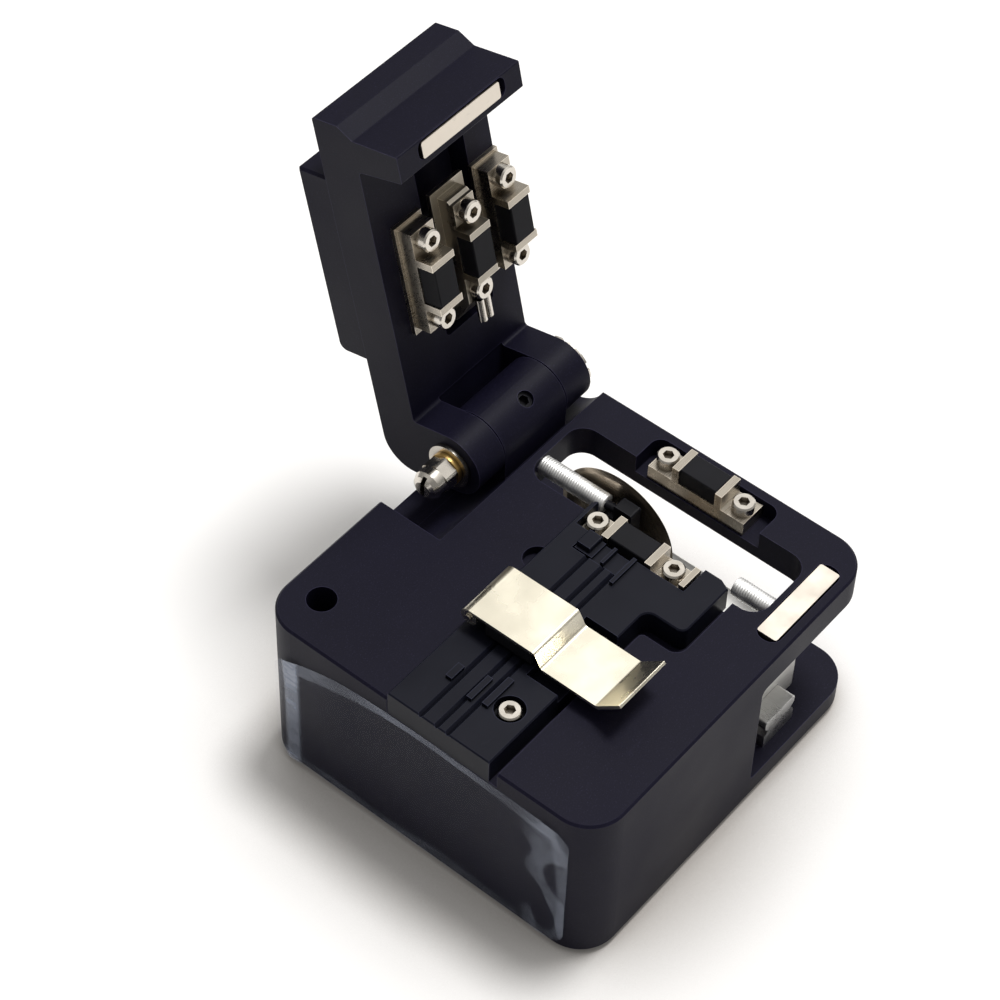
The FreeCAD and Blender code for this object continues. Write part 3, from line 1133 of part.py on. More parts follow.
def main():
    os.makedirs(PARTS, exist_ok=True)
    nodes = {name: make() for name, make in FIXED.items()}
    nodes.update({name: swing_open(make()) for name, make in IN_LID.items()})
    for name, shape in nodes.items():
        shape.exportStep(os.path.join(PARTS, name + ".step"))
        print("%-22s solids %d volume %9.2f mm3 valid %s" % (name, len(shape.Solids), shape.Volume, shape.isValid()))


main()
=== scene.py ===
"""Dresses the fibre cleaver: finishes for its machined and plated pieces, clear film, threads and stage."""

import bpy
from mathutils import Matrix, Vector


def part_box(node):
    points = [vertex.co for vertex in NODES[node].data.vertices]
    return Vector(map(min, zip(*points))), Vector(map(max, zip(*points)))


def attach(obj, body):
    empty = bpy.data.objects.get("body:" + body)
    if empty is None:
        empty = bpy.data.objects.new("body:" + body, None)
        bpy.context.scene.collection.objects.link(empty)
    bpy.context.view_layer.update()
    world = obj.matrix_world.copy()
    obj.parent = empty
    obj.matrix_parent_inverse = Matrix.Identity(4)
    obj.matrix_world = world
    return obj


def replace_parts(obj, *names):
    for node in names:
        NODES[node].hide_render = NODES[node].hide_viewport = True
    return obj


bl_info = {
    "name": "Fibre Cleaver Dressing",
    "version": (1, 0, 0),
    "blender": (4, 5, 0),
    "location": "View3D > Sidebar > Cleaver",
    "description": "Finishes, film, threads and stage for a hinged fibre cleaver",
    "category": "Object",
}

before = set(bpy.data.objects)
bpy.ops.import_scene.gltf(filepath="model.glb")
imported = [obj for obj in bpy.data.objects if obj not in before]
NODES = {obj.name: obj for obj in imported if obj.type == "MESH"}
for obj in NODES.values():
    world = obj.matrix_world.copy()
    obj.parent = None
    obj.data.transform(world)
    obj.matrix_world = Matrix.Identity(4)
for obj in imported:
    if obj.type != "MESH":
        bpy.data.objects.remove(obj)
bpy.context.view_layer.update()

import math

import bmesh
import bpy
from bpy.props import FloatProperty, FloatVectorProperty, PointerProperty
from mathutils import Matrix, Vector, noise

MM = 0.001
COLLECTION = bpy.context.scene.collection

# stage
KEY_FROM = (0.27, -0.06, 0.96)                   # direction of the lamp
KEY_DISTANCE = 0.6                               # metres; a sun's light is the same from anywhere
SOFTBOX_FROM = (0.48, 0.06, 0.87)                # middle of the bright patch in the room light
SOFTBOX_EDGES = (0.45, 0.95)                     # cosine at the patch's rim and at its full strength
CAMERA_AT = (-0.2174, -0.15685, 0.3642)
BACKDROP_LEVEL = 1.1                             # room light that the camera sees
FLOOR_GLOW = 0.06                                # extra floor light that only the camera sees
FLOOR_SHADOW_COLOUR = (0.2, 0.165, 0.13)                  # floor colour of the painted contact shadow round the foot
FLOOR_SHADOW_REACH = 24.0                          # millimetres; reach of the painted contact shadow

# clear film, millimetres unless said
FILM_WRAP_RADIUS = 6.0                           # of the body's vertical corners
FILM_CORNER = 3.2                                # radius of the film's own corners
FILM_CELLS = (160, 80)
FILM_TOP_DROP = 0.55                             # how far the upper edge sinks at its ends
FILM_TOP_SPAN = 30.0                             # from the middle to those ends
FILM_BACK_DROP = 5.2                             # how far it falls away at the back
FILM_BACK_START = 6.0                            # behind the middle, where that fall starts
FILM_BACK_SPAN = 21.5                            # its length
FILM_BACK_CURVE = 2.2                            # its power
BAND_FROM_BACK = 3.9                             # middle of the taut band, a milky strip that is a painted highlight on the curve round the back corner
BAND_HALF = 1.7
BAND_FADE = 0.9
LOOSE_LENGTH = 9.0                               # loose patches at the front end
LOOSE_FADE = 5.0
MILKY_FROM = 9.0                                 # height where the border turns milkier
MILKY_RISE = 8.0
RIPPLE = (130, 90, 3.0)                          # waves per metre along and up, and which pattern
BORDER_WANDER = (55, 60, 1.0)
LOOSE_PATCHES = (210, 150, 5.0)

# threads
THREAD_SIDES = 28
THREAD_STEPS = 8                                 # rings in one turn
THREAD_LEAD_IN = 0.5                             # millimetres of taper at the free end
WELD = 1e-7                                      # metres within which two vertices are one


# ---------------------------------------------------------------- shader node helpers
def place(tree, kind, **settings):
    """One node, its properties and its input defaults set by name."""
    node = tree.nodes.new(kind)
    for key, value in settings.items():
        if hasattr(node, key):
            setattr(node, key, value)
        else:
            node.inputs[key.replace("_", " ")].default_value = value
    return node


def wire(tree, source, target):
    tree.links.new(source, target)


def calculate(tree, operation, a, b=None, clamp=False):
    """A Math node between sockets or numbers."""
    node = tree.nodes.new("ShaderNodeMath")
    node.operation = operation
    node.use_clamp = clamp
    for i, value in enumerate((a, b)):
        if value is None:
            continue
        if isinstance(value, (int, float)):
            node.inputs[i].default_value = value
        else:
            wire(tree, value, node.inputs[i])
    return node.outputs[0]


def remap(tree, value, low, high, new_low, new_high):
    node = tree.nodes.new("ShaderNodeMapRange")
    for i, number in enumerate((low, high, new_low, new_high)):
        node.inputs[i + 1].default_value = number
    wire(tree, value, node.inputs[0])
    return node.outputs[0]


def blend_colours(tree, factor, first, second):
    node = tree.nodes.new("ShaderNodeMix")
    node.data_type = "RGBA"
    wire(tree, factor, node.inputs[0])
    for i, value in ((6, first), (7, second)):
        if isinstance(value, (tuple, list)):
            node.inputs[i].default_value = (*value[:3], 1.0)
        else:
            wire(tree, value, node.inputs[i])
    return node.outputs[2]


def tinted(base, factor, lift=0.0):
    """A colour made darker or lighter, kept at or below white."""
    return tuple(min(1.0, c * factor + lift) for c in base)


def build_group(name, inputs, outputs):
    """An empty shader node group with named sockets; returns it with its input and output nodes."""
    tree = bpy.data.node_groups.new(name, "ShaderNodeTree")
    for label, kind, default in inputs:
        socket = tree.interface.new_socket(label, in_out="INPUT", socket_type=kind)
        if default is not None:
            socket.default_value = default
    for label, kind in outputs:
        tree.interface.new_socket(label, in_out="OUTPUT", socket_type=kind)
    return tree, tree.nodes.new("NodeGroupInput"), tree.nodes.new("NodeGroupOutput")


def blasted_skin():
    """Fine bead-blasted skin: a pitted height and a slow change of sheen."""
    name = "Blasted Skin"
    if name in bpy.data.node_groups:
        return bpy.data.node_groups[name]
    tree, inward, outward = build_group(
        name,
        [("Vector", "NodeSocketVector", None), ("Grain", "NodeSocketFloat", 5200.0),
         ("Drift", "NodeSocketFloat", 60.0)],
        [("Height", "NodeSocketFloat"), ("Sheen", "NodeSocketFloat"), ("Speckle", "NodeSocketFloat")])
    fine = place(tree, "ShaderNodeTexNoise", Detail=3.0, Roughness=0.65)
    wire(tree, inward.outputs["Vector"], fine.inputs["Vector"])
    wire(tree, inward.outputs["Grain"], fine.inputs["Scale"])
    pits = place(tree, "ShaderNodeTexVoronoi", Randomness=1.0)
    wire(tree, inward.outputs["Vector"], pits.inputs["Vector"])
    wire(tree, calculate(tree, "MULTIPLY", inward.outputs["Grain"], 0.55), pits.inputs["Scale"])
    slow = place(tree, "ShaderNodeTexNoise", Detail=2.0)
    wire(tree, inward.outputs["Vector"], slow.inputs["Vector"])
    wire(tree, inward.outputs["Drift"], slow.inputs["Scale"])
    pitted = calculate(tree, "MULTIPLY", pits.outputs["Distance"], 0.5)
    height = calculate(tree, "ADD", fine.outputs["Fac"], pitted)
    wire(tree, height, outward.inputs["Height"])
    wire(tree, slow.outputs["Fac"], outward.inputs["Sheen"])
    wire(tree, remap(tree, fine.outputs["Fac"], 0.58, 0.74, 0.0, 1.0), outward.inputs["Speckle"])
    return tree


def ground_grain():
    """Grinding lines along X of the given vector."""
    name = "Ground Grain"
    if name in bpy.data.node_groups:
        return bpy.data.node_groups[name]
    tree, inward, outward = build_group(
        name, [("Vector", "NodeSocketVector", None), ("Lines", "NodeSocketFloat", 5000.0)],
        [("Height", "NodeSocketFloat"), ("Shade", "NodeSocketFloat")])
    squeeze = place(tree, "ShaderNodeMapping", Scale=(0.03, 1.0, 1.0))
    wire(tree, inward.outputs["Vector"], squeeze.inputs["Vector"])
    lines = place(tree, "ShaderNodeTexNoise", Detail=4.0, Roughness=0.7)
    wire(tree, squeeze.outputs[0], lines.inputs["Vector"])
    wire(tree, inward.outputs["Lines"], lines.inputs["Scale"])
    broad = place(tree, "ShaderNodeTexNoise", Scale=350.0, Detail=2.0)
    wire(tree, inward.outputs["Vector"], broad.inputs["Vector"])
    wire(tree, lines.outputs["Fac"], outward.inputs["Height"])
    mixed = calculate(tree, "ADD", calculate(tree, "MULTIPLY", lines.outputs["Fac"], 0.6),
                      calculate(tree, "MULTIPLY", broad.outputs["Fac"], 0.4))
    wire(tree, mixed, outward.inputs["Shade"])
    return tree


def handling_marks():
    """Sparse scuffs and fine dust as a mask."""
    name = "Handling Marks"
    if name in bpy.data.node_groups:
        return bpy.data.node_groups[name]
    tree, inward, outward = build_group(
        name,
        [("Vector", "NodeSocketVector", None), ("Scale", "NodeSocketFloat", 300.0),
         ("Amount", "NodeSocketFloat", 0.3)],
        [("Mask", "NodeSocketFloat")])
    stretch = place(tree, "ShaderNodeMapping", Scale=(0.25, 1.0, 0.6), Rotation=(0.3, 0.5, 0.9))
    wire(tree, inward.outputs["Vector"], stretch.inputs["Vector"])
    scuffs = place(tree, "ShaderNodeTexNoise", Detail=6.0, Roughness=0.75)
    wire(tree, stretch.outputs[0], scuffs.inputs["Vector"])
    wire(tree, inward.outputs["Scale"], scuffs.inputs["Scale"])
    mask = remap(tree, scuffs.outputs["Fac"], 0.6, 0.75, 0.0, 1.0)
    wire(tree, calculate(tree, "MULTIPLY", mask, inward.outputs["Amount"], True), outward.inputs["Mask"])
    return tree


def corner_mask(name, inside, samples):
    """Occlusion within reach as a mask that falls from 1 at Low to 0 at High."""
    if name in bpy.data.node_groups:
        return bpy.data.node_groups[name]
    tree, inward, outward = build_group(
        name,
        [("Reach", "NodeSocketFloat", MM), ("Low", "NodeSocketFloat", 0.3), ("High", "NodeSocketFloat", 0.8)],
        [("Mask", "NodeSocketFloat")])
    open_sky = place(tree, "ShaderNodeAmbientOcclusion", inside=inside)
    open_sky.samples = samples
    wire(tree, inward.outputs["Reach"], open_sky.inputs["Distance"])
    fall = tree.nodes.new("ShaderNodeMapRange")
    wire(tree, open_sky.outputs["AO"], fall.inputs["Value"])
    wire(tree, inward.outputs["Low"], fall.inputs["From Min"])
    wire(tree, inward.outputs["High"], fall.inputs["From Max"])
    fall.inputs["To Min"].default_value = 1.0
    fall.inputs["To Max"].default_value = 0.0
    wire(tree, fall.outputs[0], outward.inputs["Mask"])
    return tree


def start_material(name, base, roughness, metallic=0.0, specular=0.5):
    """A material with a Principled BSDF and an Object coordinate, ready for its own detail."""
    material = bpy.data.materials.new(name)
    material.use_nodes = True
    tree = material.node_tree
    shader = tree.nodes["Principled BSDF"]
    shader.inputs["Base Color"].default_value = (*base, 1.0)
    shader.inputs["Roughness"].default_value = roughness
    shader.inputs["Metallic"].default_value = metallic
    shader.inputs["Specular IOR Level"].default_value = specular
    where = tree.nodes.new("ShaderNodeTexCoord").outputs["Object"]
    return material, tree, shader, where


def use_group(tree, group, vector=None, **values):
    node = tree.nodes.new("ShaderNodeGroup")
    node.node_tree = group
    if vector is not None:
        wire(tree, vector, node.inputs["Vector"])
    for label, value in values.items():
        node.inputs[label].default_value = value
    return node


def relief(tree, shader, height, depth, strength):
    """Bump of a depth in millimetres."""
    bump = place(tree, "ShaderNodeBump", Strength=strength, Distance=depth * MM)
    wire(tree, height, bump.inputs["Height"])
    wire(tree, bump.outputs["Normal"], shader.inputs["Normal"])


def vary_roughness(tree, shader, value, at_low, at_high):
    wire(tree, remap(tree, value, 0.3, 0.7, at_low, at_high), shader.inputs["Roughness"])


def recess_shade(tree, reach, low, high):
    """Painted shade: a mask that is 1 in sockets and tight corners and 0 on open faces, where the finishes
    darken their colour as shade; the reach is in millimetres.
    """
    shade_group = corner_mask("Recess", False, 8)
    return use_group(tree, shade_group, Reach=reach * MM, Low=low, High=high).outputs["Mask"]


def edge_highlight_and_wear(tree, reach):
    """Mask that is 1 along outer edges, where the finishes paint a highlight that partly stands for finish
    rubbed thin there; the reach is in millimetres.
    """
    edge_light_group = corner_mask("Edge Wear", True, 6)
    return use_group(tree, edge_light_group, Reach=reach * MM, Low=0.55, High=0.9).outputs["Mask"]


# ---------------------------------------------------------------- finishes
def blasted_anodising(name, base, roughness, specular, grain=5200.0, depth=0.012):
    """Black anodised aluminium with a bead-blasted skin."""
    material, tree, shader, where = start_material(name, base, roughness, specular=specular)
    skin = use_group(tree, blasted_skin(), where, Grain=grain)
    marks = use_group(tree, handling_marks(), where, Scale=260.0, Amount=0.25)
    lighter = tinted(base, 2.6, 0.004)
    tone = blend_colours(tree, skin.outputs["Sheen"], tinted(base, 0.75), tinted(base, 1.2))
    speckled = blend_colours(tree, skin.outputs["Speckle"], tone, lighter)
    worn = blend_colours(tree, marks.outputs["Mask"], speckled, lighter)
    # painted highlight along outer edges, partly standing for finish rubbed thin
    edged = blend_colours(tree, edge_highlight_and_wear(tree, 0.12), worn, tinted(base, 4.0, 0.01))
    wire(tree, edged, shader.inputs["Base Color"])
    vary_roughness(tree, shader, skin.outputs["Sheen"], roughness - 0.05, roughness + 0.06)
    relief(tree, shader, skin.outputs["Height"], depth, 0.6)
    return material


def ground_steel(name, base, roughness, lines=5200.0, depth=0.004, turn=(0.0, 0.0, 0.0), edge=0.15):
    """Ground or milled metal with fine parallel lines."""
    material, tree, shader, where = start_material(name, base, roughness, 1.0)
    aim = place(tree, "ShaderNodeMapping", Rotation=turn)
    wire(tree, where, aim.inputs["Vector"])
    grain = use_group(tree, ground_grain(), aim.outputs[0], Lines=lines)
    marks = use_group(tree, handling_marks(), where, Scale=500.0, Amount=0.15)
    tone = blend_colours(tree, grain.outputs["Shade"], tinted(base, 0.72), tinted(base, 1.12))
    worn = blend_colours(tree, marks.outputs["Mask"], tone, tinted(base, 0.55))
    # painted highlight along outer edges, partly standing for finish rubbed thin
    edged = blend_colours(tree, edge_highlight_and_wear(tree, edge), worn, tinted(base, 1.9, 0.03))
    wire(tree, edged, shader.inputs["Base Color"])
    vary_roughness(tree, shader, grain.outputs["Shade"], roughness + 0.1, roughness - 0.08)
    relief(tree, shader, grain.outputs["Height"], depth, 0.5)
    return material


def nickel_plate(name, base, roughness, mottle=420.0, wear=0.3, shade_reach=1.1):
    """Nickel plate: bright, with cloudy patches, small scuffs and a painted dark brown shade in its recesses.
    """
    material, tree, shader, where = start_material(name, base, roughness, 1.0)
    cloud = place(tree, "ShaderNodeTexNoise", Scale=mottle, Detail=3.0)
    wire(tree, where, cloud.inputs["Vector"])
    marks = use_group(tree, handling_marks(), where, Scale=700.0, Amount=wear)
    tone = blend_colours(tree, cloud.outputs["Fac"], tinted(base, 0.84), tinted(base, 1.08))
    worn = blend_colours(tree, marks.outputs["Mask"], tone, tinted(base, 0.5))
    # colour of the painted shade in sockets and recesses
    shade_brown = tuple(c * f for c, f in zip(base, (0.16, 0.13, 0.09)))
    wire(tree, blend_colours(tree, recess_shade(tree, shade_reach, 0.3, 0.8), worn, shade_brown), shader.inputs["Base Color"])
    vary_roughness(tree, shader, cloud.outputs["Fac"], roughness - 0.05, roughness + 0.08)
    relief(tree, shader, cloud.outputs["Fac"], 0.02, 0.4)
    return material


def soft_rubber(name, base, roughness):
    """Moulded rubber with a faint tooth."""
    material, tree, shader, where = start_material(name, base, roughness, specular=0.15)
    skin = use_group(tree, blasted_skin(), where, Grain=3800.0, Drift=240.0)
    tone = blend_colours(tree, skin.outputs["Sheen"], tinted(base, 0.7), tinted(base, 1.5))
    wire(tree, tone, shader.inputs["Base Color"])
    relief(tree, shader, skin.outputs["Height"], 0.01, 0.5)
    return material


def smooth_polymer(name, base, roughness, specular):
    """Smooth black adapter finish with faint handling marks, a painted highlight along its edges and painted
    shade in its grooves.
    """
    material, tree, shader, where = start_material(name, base, roughness, specular=specular)
    skin = use_group(tree, blasted_skin(), where, Grain=2600.0, Drift=90.0)
    marks = use_group(tree, handling_marks(), where, Scale=420.0, Amount=0.35)
    tone = blend_colours(tree, skin.outputs["Sheen"], tinted(base, 0.7), tinted(base, 1.3))
    worn = blend_colours(tree, marks.outputs["Mask"], tone, tinted(base, 2.4, 0.01))
    # painted highlight along outer edges, partly standing for finish rubbed thin
    edged = blend_colours(tree, edge_highlight_and_wear(tree, 0.12), worn, tinted(base, 5.0, 0.01))
    # painted shade in grooves and tight corners
    groove_shade = blend_colours(tree, recess_shade(tree, 0.9, 0.35, 0.8), edged, tinted(base, 0.3))
    wire(tree, groove_shade, shader.inputs["Base Color"])
    vary_roughness(tree, shader, skin.outputs["Sheen"], roughness - 0.06, roughness + 0.08)
    relief(tree, shader, skin.outputs["Height"], 0.005, 0.4)
    return material


def lapped_disc(name, base, roughness, centre):
    """Ground steel disc: the lines run round the bore."""
    material, tree, shader, where = start_material(name, base, roughness, 1.0)
    middle = place(tree, "ShaderNodeMapping", Location=tuple(-c for c in centre))
    wire(tree, where, middle.inputs["Vector"])
    split = tree.nodes.new("ShaderNodeSeparateXYZ")
    wire(tree, middle.outputs[0], split.inputs[0])
    y, z = split.outputs[1], split.outputs[2]
    squares = (calculate(tree, "MULTIPLY", y, y), calculate(tree, "MULTIPLY", z, z))
    radius = calculate(tree, "SQRT", calculate(tree, "ADD", *squares))
    rings = place(tree, "ShaderNodeTexNoise", Scale=9000.0, Detail=3.0)
    rings.noise_dimensions = "1D"
    wire(tree, radius, rings.inputs["W"])
    tone = blend_colours(tree, rings.outputs["Fac"], tinted(base, 0.7), tinted(base, 1.15))
    wire(tree, tone, shader.inputs["Base Color"])
    vary_roughness(tree, shader, rings.outputs["Fac"], roughness - 0.06, roughness + 0.1)
    relief(tree, shader, rings.outputs["Fac"], 0.003, 0.4)
    return material


def wrinkled_film(name, tint):
    """Clear film: nearly invisible where it lies flat, milky along its lifted border and its folds."""
    material, tree, shader, where = start_material(name, tint, 0.2)
    crease = place(tree, "ShaderNodeAttribute", attribute_name="crease")
    streaks = place(tree, "ShaderNodeMapping", Scale=(1.0, 0.3, 1.0), Rotation=(0.35, 0.0, 0.0))
    wire(tree, where, streaks.inputs["Vector"])
    fibres = place(tree, "ShaderNodeTexNoise", Scale=330.0, Detail=3.0, Roughness=0.55, Distortion=0.6)
    wire(tree, streaks.outputs[0], fibres.inputs["Vector"])
    broken = remap(tree, fibres.outputs["Fac"], 0.3, 0.7, 0.55, 1.0)
    cloud = calculate(tree, "MULTIPLY", crease.outputs["Fac"], broken)
    wire(tree, remap(tree, cloud, 0.0, 1.0, 0.012, 0.6), shader.inputs["Alpha"])
    wire(tree, remap(tree, cloud, 0.0, 1.0, 0.12, 0.3), shader.inputs["Roughness"])
    return material


def dress(material, *names):
    """Give CAD nodes one finish."""
    for name in names:
        slots = NODES[name].data.materials
        slots.clear()
        slots.append(material)


# ---------------------------------------------------------------- settings
def colour_setting(name, description, default):
    return FloatVectorProperty(name=name, description=description, subtype="COLOR", default=default,
                               min=0.0, max=1.0)


class CleaverFinish(bpy.types.PropertyGroup):
    """Colours and sheens of the cleaver's finishes."""
    body_colour: colour_setting("Body", "Anodised colour of the body and lid", (0.0052, 0.0047, 0.0128))
    body_sheen: FloatProperty(name="Body Roughness", description="Roughness of the blasted skin", default=0.5,
                              min=0.2, max=0.9)
    clip_colour: colour_setting("Clip", "Plate colour of the fibre clip", (0.86, 0.81, 0.67))
    steel_colour: colour_setting("Holders", "Colour of the anvil and clamp holders", (0.44, 0.4, 0.34))
    screw_colour: colour_setting("Screws", "Plate colour of the socket screws", (0.66, 0.62, 0.56))


class CleaverFilm(bpy.types.PropertyGroup):
    """Sizes of the clear film on the left face."""
    lift: FloatProperty(name="Lift", description="Height of the flat film above the body", unit="LENGTH",
                        default=0.00008, min=0.0)
    crease_height: FloatProperty(name="Crease Height", description="Height of the creases at the border",
                                 unit="LENGTH", default=0.0004, min=0.0)
    border: FloatProperty(name="Border", description="Width of the creased border", unit="LENGTH",
                          default=0.0045, min=0.001)


class CleaverStops(bpy.types.PropertyGroup):
    """Thread of the slider's stop screws."""
    pitch: FloatProperty(name="Pitch", description="Pitch of the thread", unit="LENGTH",
                         default=0.0004, min=0.0001)
    depth: FloatProperty(name="Depth", description="Depth of the thread", unit="LENGTH",
                         default=0.00005, min=0.0)


class CleaverStage(bpy.types.PropertyGroup):
    """Camera, floor and lamps."""
    azimuth: FloatProperty(name="Azimuth", description="Camera direction round the object", subtype="ANGLE",
                           default=math.radians(-52.06))
    elevation: FloatProperty(name="Elevation", description="Camera height above the horizon", subtype="ANGLE",
                             default=math.radians(49.72))
    roll: FloatProperty(name="Roll", description="Tilt of the picture", subtype="ANGLE",
                        default=math.radians(2.01))
    lens: FloatProperty(name="Lens", description="Focal length in millimetres", default=110.9, min=10.0)
    key_power: FloatProperty(name="Key", description="Strength of the main lamp", default=2.3, min=0.0)
    key_spread: FloatProperty(name="Key Spread", description="Width of the main lamp as seen from the object",
                              subtype="ANGLE", default=math.radians(16))
    sky_level: FloatProperty(name="Sky", description="Strength of the room light at the horizon", default=0.3,
                             min=0.0)
    softbox_level: FloatProperty(name="Softbox", description="Strength of the room light overhead",
                                 default=1.05, min=0.0)
    floor_colour: colour_setting("Floor", "Floor colour", (0.86, 0.85, 0.84))


# ---------------------------------------------------------------- mesh helpers
def ease(amount):
    """Smooth step of an amount that is clamped to 0 and 1."""
    amount = min(1.0, max(0.0, amount))
    return amount * amount * (3.0 - 2.0 * amount)


def wander(along, up, field):
    """A slow random value between -1 and 1 over the film."""
    along_scale, up_scale, pattern = field
    return noise.noise(Vector((along * along_scale, up * up_scale, pattern)))


def new_piece(name, bm, material, body):
    """Finish a bmesh as a smooth piece on a body; its place stays in its mesh."""
    bmesh.ops.recalc_face_normals(bm, faces=bm.faces)
    mesh = bpy.data.meshes.new(name)
    bm.to_mesh(mesh)
    bm.free()
    piece = bpy.data.objects.new(name, mesh)
    COLLECTION.objects.link(piece)
    mesh.materials.append(material)
    for polygon in mesh.polygons:
        polygon.use_smooth = True
    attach(piece, body)
    return piece


# ---------------------------------------------------------------- operators
class CLEAVER_OT_dress_housing(bpy.types.Operator):
    """Finish the anodised body, lid and cover"""
    bl_idname = "cleaver.dress_housing"
    bl_label = "Dress Housing"

    def execute(self, context):
        finish = context.scene.cleaver_finish
        skin = blasted_anodising("black anodised skin", tuple(finish.body_colour), finish.body_sheen, 0.1)
        dress(skin, "body_frame", "lid_arm", "lid_cover")
        return {"FINISHED"}


class CLEAVER_OT_dress_adapter(bpy.types.Operator):
    """Finish the fibre adapter plate and its guide comb"""
    bl_idname = "cleaver.dress_adapter"
    bl_label = "Dress Adapter"

    def execute(self, context):
        polymer = smooth_polymer("black adapter finish", (0.0045, 0.005, 0.0105), 0.4, 0.13)
        dress(polymer, "fibre_adapter_plate", "fibre_guide_comb")
        return {"FINISHED"}


class CLEAVER_OT_dress_anvils(bpy.types.Operator):
    """Finish the anvils, clamps and press arm"""
    bl_idname = "cleaver.dress_anvils"
    bl_label = "Dress Anvils"

    def execute(self, context):
        finish = context.scene.cleaver_finish
        holder = ground_steel("ground holder steel", tuple(finish.steel_colour), 0.27,
                              depth=0.0008, edge=0.12)
        dress(holder, "right_anvil_holder", "left_anvil_holder", "left_clamp_holder", "right_clamp_holder",
              "left_clamp_spacer", "right_clamp_spacer")
        rubber = soft_rubber("black pad rubber", (0.0045, 0.0045, 0.0065), 0.6)
        dress(rubber, "right_anvil_pad", "left_anvil_pad", "left_clamp_pad", "right_clamp_pad", "press_pad",
              "clip_pad", "rubber_mat")
        dull = ground_steel("dull arm steel", (0.36, 0.33, 0.28), 0.3, depth=0.0008, edge=0.15)
        dress(dull, "press_arm", "press_leaf")
        return {"FINISHED"}


class CLEAVER_OT_dress_hardware(bpy.types.Operator):
    """Finish the screws, pins, nuts and washers"""
    bl_idname = "cleaver.dress_hardware"
    bl_label = "Dress Hardware"

    def execute(self, context):
        finish = context.scene.cleaver_finish
        bright = nickel_plate("bright nickel plate", tuple(finish.screw_colour), 0.2, 600.0, 0.35)
        dress(bright, "right_anvil_screws", "left_anvil_screws", "left_clamp_screws", "right_clamp_screws",
              "press_arm_screws", "adapter_screw", "clip_pin", "hinge_pin", "hinge_washer", "hinge_nut",
              "hinge_cap", "star_washer", "lid_adjust_screw", "press_arm_pin", "arm_dowels", "rail_screws",
              "bracket_screws", "blade_lock_screw")
        brass = nickel_plate("turned brass", (0.7, 0.47, 0.17), 0.28)
        dress(brass, "hinge_bush")
        black = blasted_anodising("black oxide steel", (0.004, 0.004, 0.006), 0.42, 0.14, depth=0.004)
        dress(black, "hinge_set_screw", "cover_screws", "blade_bracket")
        return {"FINISHED"}


class CLEAVER_OT_dress_slider(bpy.types.Operator):
    """Finish the slider, rail, stops and blade"""
    bl_idname = "cleaver.dress_slider"
    bl_label = "Dress Slider"

    def execute(self, context):
        bare = ground_steel("machined aluminium", (0.82, 0.81, 0.78), 0.42, 3600.0, 0.006)
        dress(bare, "slider_carriage")
        steel = ground_steel("rail steel", (0.6, 0.6, 0.59), 0.3, turn=(0.0, 0.0, math.pi / 2))
        dress(steel, "linear_rail", "rear_stop_pin", "front_stop_screw", "blade_arbor", "blade_flange")
        low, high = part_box("cutting_blade")
        centre = [(a + b) / 2 for a, b in zip(low, high)]
        dress(lapped_disc("lapped blade steel", (0.38, 0.32, 0.25), 0.3, centre), "cutting_blade")
        return {"FINISHED"}


class CLEAVER_OT_cut_threads(bpy.types.Operator):
    """Cut the thread on the two stop screws of the slider"""
    bl_idname = "cleaver.cut_threads"
    bl_label = "Cut Threads"

    def execute(self, context):
        stops = context.scene.cleaver_stops
        # only a faint painted shade in the thread's valleys
        plate = nickel_plate("stop screw nickel", (0.95, 0.94, 0.92), 0.5, 500.0, 0.1, shade_reach=0.08)
        for name, free_end in (("rear_stop_pin", "low"), ("front_stop_screw", "high")):
            low, high = (Vector(c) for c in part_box(name))
            rod = self.turn_thread(low, high, stops, free_end)
            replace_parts(new_piece(name + "_thread", rod, plate, "body"), name)
        return {"FINISHED"}

    def turn_thread(self, low, high, stops, free_end):
        """A grid rolled into a rod along Y, whose radius follows the helix, with both ends closed."""
        middle = (low + high) / 2
        radius = (high.x - low.x) / 2
        bm = bmesh.new()
        rings = int((high.y - low.y) / stops.pitch * THREAD_STEPS)
        bmesh.ops.create_grid(bm, x_segments=THREAD_SIDES, y_segments=rings, size=0.5)
        for v in bm.verts:
            round_share = v.co.x + 0.5
            y = low.y + (high.y - low.y) * (v.co.y + 0.5)
            from_tip = (y - low.y) if free_end == "low" else (high.y - y)
            full = min(1.0, from_tip / (THREAD_LEAD_IN * MM))
            flank = abs(2.0 * ((y / stops.pitch + round_share) % 1.0) - 1.0)
            reach = radius - stops.depth * flank * full - (1.0 - full) * stops.depth
            turn = math.tau * round_share
            v.co = Vector((middle.x + reach * math.cos(turn), y, middle.z + reach * math.sin(turn)))
        bmesh.ops.remove_doubles(bm, verts=bm.verts, dist=WELD)
        bmesh.ops.holes_fill(bm, edges=[e for e in bm.edges if e.is_boundary], sides=0)
        return bm


class CLEAVER_OT_dress_clip(bpy.types.Operator):
    """Finish the fibre clip and the two magnets"""
    bl_idname = "cleaver.dress_clip"
    bl_label = "Dress Clip and Magnets"

    def execute(self, context):
        finish = context.scene.cleaver_finish
        satin = nickel_plate("satin clip nickel", tuple(finish.clip_colour), 0.26, 160.0, 0.15)
        dress(satin, "fibre_clip")
        scuffed = nickel_plate("scuffed magnet nickel", (0.7, 0.64, 0.56), 0.34, 260.0, 0.8)
        dress(scuffed, "deck_magnet", "lid_magnet")
        return {"FINISHED"}


